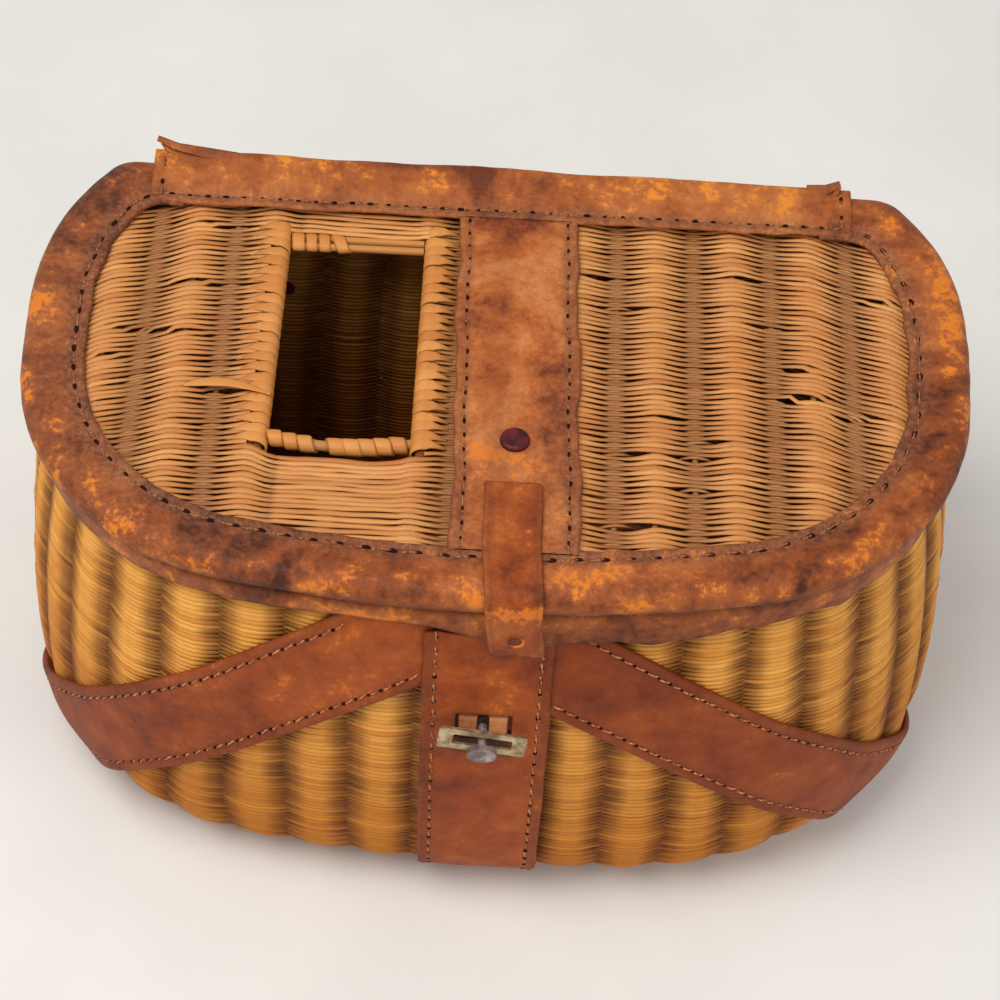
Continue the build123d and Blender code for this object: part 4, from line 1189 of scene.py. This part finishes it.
# hinge strip: over the lid's back edge and down the back of the basket
hingeStrip = {
    "thickness": 2.3, "cell": 2.4, "corner": 4.5, "warp": 4.2, "warpX": [-150, -60, 60, 150],
    "warpShare": [1.0, 0.9, 0.75, 0.45], "outwardShare": 0.5, "seamInset": 4.4, "endInset": 4.2, "axisAboveMouth": 0.35,
    "blendReach": 3.6}
hingeSewing = sewingStyle(0.0072, (0.0048, 0.0004, 0.00015, 0.05, 12), (0.0028, 0.0015, 13), "dullThread")
# ragged tongues of leather past the strip's ends: x and y of the root, reach, depth, rise and width
tornEnds = {
    "Left": ((34, -3.4, -33, 3.6, 3.4, 0.75), (12, -2.4, -9, 1.6, 2.2, 0.6)),
    "Right": ((-14, -3.4, 9, 1.0, 5.2, 0.7), (-18, -3.0, 10, 0.5, 2.4, 0.8), (-8, -5.0, 3, 1.5, 4.6, 0.5)),
    "tipRise": {"Left": 2.6, "Right": 0.0}, "ribbon": (7.6, 1.7, 8)}


def hingeLine(front, back, topZ, lowZ):
    # outer line from the strip's front edge over the corner and down: y and z
    corner = hingeStrip["corner"]
    edge = ((0.0, -1.6), (0.5, -0.7), (1.8, -0.3), (3.4, -0.75), (4.4, -1.0), (5.4, -0.75), (7.5, -0.1))
    line = [(front + y, topZ + z) for y, z in edge]
    line += [(y, topZ) for y in np.linspace(front + 10, back - corner, 6)]
    for a in np.radians([18, 36, 54, 72, 90]):
        line.append((back - corner + corner * math.sin(a), topZ - corner + corner * math.cos(a)))
    line += [(back, z) for z in np.linspace(topZ - corner - 1.5, lowZ, 15)]
    return np.array(line)


def layHinge():
    left, right = stripLow[0], stripHigh[0]
    front, back = stripLow[1], stripHigh[1]
    topZ = stripHigh[2]
    line = hingeLine(front, back, topZ, backStripLow[2])
    tangent = unitTangents(line)
    inner = line + place(tangent[:, 1], -tangent[:, 0]) * hingeStrip["thickness"]
    section = np.concatenate([line, inner[::-1]])
    xs = np.linspace(left, right, int((right - left) / hingeStrip["cell"]))
    rings = place(xs[:, None], section[:, 0], section[:, 1])
    frontWave = 0.7 * ripple(xs, 40, 95) + 0.3 * ripple(xs, 12, 96)
    rings[:, :, 1] += frontWave[:, None] * bell(section[:, 0], front, 5.0)
    bumps = 0.35 * ripple(rings, 30, 97) + 0.15 * ripple(rings, 10, 98)
    outerCount = len(line)
    raised = slice(3, outerCount - 12)
    rings[:, raised, 2] += np.minimum(bumps[:, raised], 0.4)
    # the lid has warped: its back edge stands higher to the left
    warp = hingeStrip["warp"] * np.interp(xs, hingeStrip["warpX"], hingeStrip["warpShare"]) + 0.5 * ripple(xs, 70, 99)
    overEdge = ramp(section[:outerCount, 0], front + 6, 14) * ramp(section[:outerCount, 1], lidMiddle, 5)
    rings[:, :outerCount, 2] += warp[:, None] * overEdge
    rings[:, :outerCount, 1] += hingeStrip["outwardShare"] * warp[:, None] * overEdge
    order = np.arange(outerCount)
    dust = np.concatenate([bell(order, 3, 2.6), np.full(outerCount, 0.3)])
    wear = np.concatenate([np.clip((order - 5) / 4, 0.2, 1.15), np.full(outerCount, 0.2)])
    piece = sweepRings("hingeStrip", rings, dust=dust, wear=wear, shade=0.0)
    dress(piece, "hingeLeather", None, "edge_leather", "hinge_strip_lid", "hinge_strip_back")
    hingeZ, reach = mouthTop + hingeStrip["axisAboveMouth"], hingeStrip["blendReach"]
    (hingeZ + reach) / 1000
    (hingeZ - reach) / 1000
    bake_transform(piece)
    # the lower fold under the lid
    under = np.array([
        (front, 0.4), (front + 0.8, 1.8), (back - 3.4, 1.9), (back - 2.6, 1.0), (back - 3.4, 0.2), (front + 0.8, 0)])
    fold = sweepRings("hingeStripUnder", place(xs[:, None], under[:, 0], lidLow[2] + under[:, 1]), wear=0.4)
    dress(fold, "hingeLeather", "lid", "edge_leather")
    seamX = np.linspace(left + 5, right - 5, 90)
    seamY = np.interp(seamX, xs, frontWave) * 0.5 + front + hingeStrip["seamInset"]
    lines = [guide(place(seamX, seamY, topZ - 0.85))]
    endY = np.linspace(front + 6, back - 7, 12)
    for x in (left + hingeStrip["endInset"], right - hingeStrip["endInset"]):
        lines.append(guide(place(x, endY, topZ + 0.2 + np.interp(x, xs, warp) * ramp(endY, front + 6, 14))))
    sewing("hingeSewing", lines, hingeSewing, "lid", "edge_leather")
    t = np.linspace(0, 1, 9)
    for side, x0 in (("Left", left), ("Right", right)):
        lines = []
        for rootX, rootY, reach, deep, rise, wide in tornEnds[side]:
            x = x0 + rootX + reach * t
            tip = tornEnds["tipRise"][side] * np.clip(t * 4 - 3, 0, 1)
            z = topZ - 0.7 + np.interp(x, xs, warp) + rise * t**1.3 + tip
            girth = wide * (1 - 0.55 * t**1.5)
            points = place(x, back + rootY + deep * t, z)
            lines.append(guide(points, (0.0, -0.4, 1.0), girth=girth, wear=0.8, dust=0.2, shade=0.3))
        sweepStrands("tornEnd" + side, lines, tornEnds["ribbon"], "hingeLeather", "lid", "edge_leather")


layHinge()
print("stage: hinge strip laid")

# centre strap with its slit
centreStrap = {
    "thickness": 2.5, "stitchInset": 4.2, "skew": 0.026, "slitFromFront": 54.0, "steps": 84, "hump": 0.7,
    "humpBehindSlit": 7.0}
strapSewing = sewingStyle(0.0068, (0.0048, 0.00036, 0.0001, 0.08, 14), (0.0026, 0.0012, 15), "dullThread")
slitY = lidFront + centreStrap["slitFromFront"]


def strapSkew(y):
    # the strap isn't sewn on quite square
    return -centreStrap["skew"] * (y - 5.0)


def strapWaver(y):
    # its edges wander a little
    return 0.6 * np.sin(y * 0.11) + 0.35 * np.sin(y * 0.29 + 1)


def layStrap():
    left, right, front, back = strapLow[0], strapHigh[0], strapLow[1] - 1.0, strapHigh[1] + 0.4
    half = (right - left) / 2
    inset = centreStrap["stitchInset"]
    across, height, dust = strapSection(
        right - left, centreStrap["thickness"], (-half + inset, half - inset), 0.5, 0.3, 3.4, 30)
    ys = np.linspace(front, back, centreStrap["steps"])[:, None]
    x = left + half + strapSkew(ys) + across * (1 + 0.012 * np.sin(ys * 0.07))
    x = x + strapWaver(ys) * np.abs(across / 24) ** 3
    hump = centreStrap["hump"] * bell(ys, slitY + centreStrap["humpBehindSlit"], 9) * bell(across, 0, 13)
    rings = place(x, ys, strapLow[2] + height + hump * (height > 0.1))
    rings[:, :, 2] += 0.18 * ripple(rings, 22, 101) * (height > 0.5)
    dusty = np.clip(dust + 0.1 + 0.25 * np.clip(across / 20, 0, 1), 0, 1) + 0.25 * ramp(ys, 20, -60)
    shade = np.clip(dust * 0.5 + 0.45 * bell(across, -7, 6), 0, 1)
    wear = 0.4 + 0.9 * bell(ys, slitY + 6, 16)
    piece = sweepRings("centreStrap", rings, dust=np.clip(dusty, 0, 1), shade=shade, wear=wear)
    dress(piece, "strapLeather", "lid", "strap_leather", "centre_strap")
    y = np.linspace(front + 2, back - 2, 60)
    seams = [x + strapSkew(y) + strapWaver(y) * 0.6 for x in (left + inset, right - inset)]
    lines = [guide(place(seam, y, strapHigh[2] - 0.3)) for seam in seams]
    sewing("strapSewing", lines, strapSewing, "lid", "strap_leather")


layStrap()

# latch strap: out of the slit, over the edge and down
latchStrap = {
    "thickness": 2.3, "lean": 2.0, "bendRadius": 7.5, "drift": 4.4, "eyeAboveEnd": 9.0, "eyeX": 3.4,
    "eyeRadii": (3.3, 3.1), "eyeRing": (1.3, 0.9, 6), "hole": (4.6, 0.4, 8), "wornFrom": 33, "blendReach": 0.005}


def layLatchStrap():
    left, right = tongueLow[0], tongueHigh[0]
    topZ = tongueHigh[2]
    slit = slitY + 1.0
    bendY, bendZ = lidFront + 5.0, topZ - 7.5
    path = [(slit - 0.2, topZ - 4.2), (slit - 1.0, topZ - 1.6), (slit - 3.0, topZ - 0.2)]
    path += [(y, topZ) for y in np.linspace(slit - 6, bendY + 2, 22)]
    bend, lean = latchStrap["bendRadius"], math.radians(latchStrap["lean"])
    path += [(bendY - bend * math.sin(a), bendZ + bend * math.cos(a)) for a in np.radians(np.linspace(8, 88, 9))]
    hangY = bendY - bend * math.cos(lean)
    path += [(hangY - d * math.tan(lean), bendZ - d) for d in np.linspace(2.0, bendZ - tongueLow[2], 14)]
    path = np.array(path)
    tangent = unitTangents(path)
    across, height, dust = strapSection(right - left, latchStrap["thickness"], (), 0.0, 0.0, 3.0, 16)
    middle, half, count = (left + right) / 2, (right - left) / 2, len(path)
    order = np.arange(count)[:, None]
    # the hanging part narrows and drifts to the right
    late = np.maximum(0.0, (order - 20) / (count - 20))
    x = middle + across * (1 - 0.05 * late) + 0.3 * np.sin(order * 0.3) + latchStrap["drift"] * (order / count) ** 1.5
    sink = latchStrap["thickness"] - height
    rings = place(x, path[:, :1] - tangent[:, 1:] * sink, path[:, 1:] + tangent[:, :1] * sink)
    rings[-1, :, 2] += 0.5 * np.cos(across * 0.25) + 0.2 * np.sin(across * 1.3)
    crease = bell(half - np.abs(across), 2.6, 0.8)
    wear = 0.3 + 1.5 * bell(order, latchStrap["wornFrom"], 2.6) + 0.5 * np.clip(across / 11, -1, 1)
    piece = sweepRings("latchStrap", rings, dust=dust * 0.5, shade=crease * 0.5, wear=wear)
    dress(piece, "tongueLeather", None, "strap_leather", "latch_strap_root", "latch_tongue")
    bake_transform(piece)
    # worn ring and hole near the strap's end
    eyeZ = tongueLow[2] + latchStrap["eyeAboveEnd"]
    eyeY = hangY - (bendZ - eyeZ) * math.tan(lean) - 0.05
    eyeX = middle + latchStrap["eyeX"]
    wide, tall = latchStrap["eyeRadii"]
    faceOut = (0.0, -1.0, 0.03)
    turns = np.radians(np.arange(0, 360, 15))
    ring = place(eyeX + wide * np.cos(turns), eyeY, eyeZ + tall * np.sin(turns))
    low = np.cos(turns + 0.9)
    eye = guide(ring, faceOut, girth=0.8 + 0.5 * low, wear=1.0 + 2.6 * low, dust=0.0, shade=0.0)
    dressing = ("tongueLeather", "latch_tongue", "strap_leather")
    sweepStrands("tongueEye", [eye], latchStrap["eyeRing"], *dressing, closed=True)
    ends = place(eyeX + np.array([1, -1]) * (wide - 0.8), eyeY + 0.05, eyeZ)
    # painted shade and painted shadow inside the hole
    sunk = guide(ends, faceOut, girth=1.0, wear=0.0, dust=0.0, shade=0.8, stain=0.15)
    sweepStrands("tongueHole", [sunk], latchStrap["hole"], *dressing)


layLatchStrap()
print("stage: straps laid")

# lining behind the latch window: two pads with the post between them
lining = {
    "margin": 5.0, "postX": 1.5, "cavity": 1.7, "padEnd": 9.7, "soft": 0.7, "base": 1.3, "pad": 1.95, "sheet": 0.0009,
    "columns": 91, "rows": 45, "shadowTop": 125.5}


def layLining():
    left, right, low, high = frontPanel["window"]
    margin, soft = lining["margin"], lining["soft"]
    xs = np.linspace(left - margin, right + margin, lining["columns"])
    zs = np.linspace(low - margin, high + margin, lining["rows"])
    gridX, gridZ = np.meshgrid(xs, zs)
    beside = np.abs(gridX - lining["postX"])
    raised = ramp(beside, lining["cavity"], soft) * ramp(beside, lining["padEnd"], -soft)
    raised = raised * ramp(gridZ, high - 1.6, -soft) * ramp(gridZ, low, soft)
    out = lining["base"] + lining["pad"] * raised + 0.12 * ripple(place(gridX, gridZ), 8, 120)
    points, _ = wallPoint(frontAlong(gridX), gridZ, out)
    # painted shadow on the lining's lower part, behind the hasp plate
    stain = np.clip((lining["shadowTop"] - gridZ) / 2.0, 0, 0.9)
    values = {"shade": 1 - raised, "stain": stain, "wear": np.full(out.shape, 0.5), "dust": np.zeros(out.shape)}
    values = {key: array.ravel() for key, array in values.items()}
    piece = makeMesh("panelLining", points, sheetFaces(len(zs), len(xs)), values=values)
    thicken(piece, lining["sheet"])
    dress(piece, "liningLeather", "basket", "lining_leather", "panel_lining")


layLining()

# leather loops on the back for the harness
loopStrap = {"thickness": 2.3, "width": 22.0, "seam": 8.4, "foot": 14.3, "steps": 61}


def loopPath(low, high):
    # outer face from the left foot over the crown to the right one: x and y
    foot, crown = low[1] + loopStrap["thickness"], high[1]
    half = (high[0] - low[0]) / 2
    inner = half - loopStrap["foot"]
    path = [
        (-half, foot), (-half + 6, foot), (-inner - 3.0, foot), (-inner - 0.9, foot + 0.9), (-inner, foot + 3.0),
        (-inner + 0.6, crown - 2.4), (-inner + 2.6, crown - 0.5), (-inner + 6, crown)]
    path = np.array(path + [(0.0, crown + 0.3)] + [(-x, y) for x, y in reversed(path)])
    fine = np.linspace(0, len(path) - 1, loopStrap["steps"])
    return place(*(np.interp(fine, np.arange(len(path)), path[:, i]) for i in (0, 1)))


def layLoop(node):
    low, high = nodeBox(node)
    middleX, middleZ = (low[0] + high[0]) / 2, (low[2] + high[2]) / 2
    seam = loopStrap["seam"]
    across, height, dust = strapSection(loopStrap["width"], loopStrap["thickness"], (-seam, seam), 0.3, 0.0, 3.0, 18)
    path = loopPath(low, high)
    tangent = unitTangents(path)
    sink = loopStrap["thickness"] - height
    rings = place(
        middleX + path[:, :1] + tangent[:, 1:] * sink, path[:, 1:] - tangent[:, :1] * sink,
        middleZ + across + 0.3 * np.sin(path[:, :1] * 0.3))
    name = "harnessLoop" + ("Left" if middleX < 0 else "Right")
    piece = sweepRings(name, rings, dust=dust * 0.5, shade=dust * 0.4, wear=0.7)
    dress(piece, "strapLeather", "basket", "strap_leather", node)
    crown = path[16:45]
    lines = []
    for z in (middleZ - seam, middleZ + seam):
        lines.append(guide(place(middleX + crown[:, 0], crown[:, 1] - 0.1, z), (0.0, 1.0, 0.0)))
    sewing(name + "Sewing", lines, bandSewing, "basket", "strap_leather")


layLoop("harness_loop_left")
layLoop("harness_loop_right")
print("stage: lining and loops laid")

# solids that keep their own shape and get a finish
finishes = {
    "agedBrass": ("hasp_plate", "stud_washer"), "tarnishedShadedMetal": ("stud_plate",), "studBrass": ("turn_stud",),
    "darkCopper": ("strap_rivet", "rivet_burr", "loop_rivets"), "bareStick": ("hole_sticks_back",),
    "stakeWood": ("mouth_hoop", "lid_hoop", "hole_stake_left", "hole_stake_right")}
for finish, nodes in finishes.items():
    for node in nodes:
        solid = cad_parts[node]
        solid.data.materials.clear()
        solid.data.materials.append(materials[finish])

# floor, light and camera
paper = {"half": 3.0, "height": -0.0004, "scale": 9.0, "tones": (paint(234, 233, 229), paint(240, 239, 235))}
lamps = {
    "keyLight": {"place": (-0.55, -0.4, 1.6), "size": 1.0, "power": 16.5, "tone": (1.0, 0.985, 0.96)},
    "fillLight": {"place": (1.2, -0.9, 1.1), "size": 1.4, "power": 5.0, "tone": (1.0, 0.99, 0.97)}}
softRoom = {"tone": (1.0, 0.985, 0.96, 1.0), "strength": 0.52}
viewpoint = {
    "place": (-0.002, -0.652, 0.968), "elevation": 52.0, "roll": -3.38, "yaw": 0.52, "focal": 2600.0, "image": 1000.0,
    "sensor": 36.0}


def layPaper():
    floorMaterial, g = newMaterial("floorPaper")
    soft = g.noise(g.stretched(), paper["scale"], 4.0)
    colour = g.mix(soft.steps(0.3, 0.7), *paper["tones"])
    finishMaterial(g, {"Base Color": colour, "Roughness": (soft * 0.1 + 0.8).clamp()})
    half = paper["half"]
    corners = [(x * half, y * half, paper["height"]) for x, y in ((-1, -1), (1, -1), (1, 1), (-1, 1))]
    mesh = bpy.data.meshes.new("floor")
    mesh.from_pydata(corners, [], [(0, 1, 2, 3)])
    mesh.materials.append(floorMaterial)
    floor = link("floor", mesh)


def setLight():
    for name, values in lamps.items():
        lamp = bpy.data.lights.new(name, "AREA")
        lamp.shape = "DISK"
        lamp.size = values["size"]
        lamp.energy = values["power"]
        lamp.color = values["tone"]
        holder = link(name, lamp)
        holder.location = values["place"]
        aim = Vector((0, 0, 0.1)) - Vector(values["place"])
        holder.rotation_euler = aim.to_track_quat("-Z", "Y").to_euler()
    world = bpy.data.worlds.new("softRoom")
    bpy.context.scene.world = world
    world.use_nodes = True
    background = world.node_tree.nodes["Background"].inputs
    background["Color"].default_value = softRoom["tone"]
    background["Strength"].default_value = softRoom["strength"]


def setCamera():
    # the camera's axes from its elevation, turn and roll
    e, roll, yaw = (math.radians(viewpoint[k]) for k in ("elevation", "roll", "yaw"))
    ahead = Vector((math.sin(yaw) * math.cos(e), math.cos(yaw) * math.cos(e), -math.sin(e)))
    level = Vector((math.cos(yaw), -math.sin(yaw), 0))
    upright = level.cross(ahead)
    right = math.cos(roll) * level - math.sin(roll) * upright
    up = math.sin(roll) * level + math.cos(roll) * upright
    data = bpy.data.cameras.new("camera")
    data.sensor_width = viewpoint["sensor"]
    data.lens = viewpoint["focal"] / viewpoint["image"] * viewpoint["sensor"]
    data.clip_start = 0.01
    camera = link("camera", data)
    columns = zip(right, up, -ahead, viewpoint["place"])
    camera.matrix_world = Matrix([*columns, (0, 0, 0, 1)])
    bpy.context.scene.camera = camera


layPaper()
setLight()
setCamera()
bpy.context.scene.view_settings.view_transform = "Standard"
bpy.context.view_layer.update()
print("stage: scene ready")
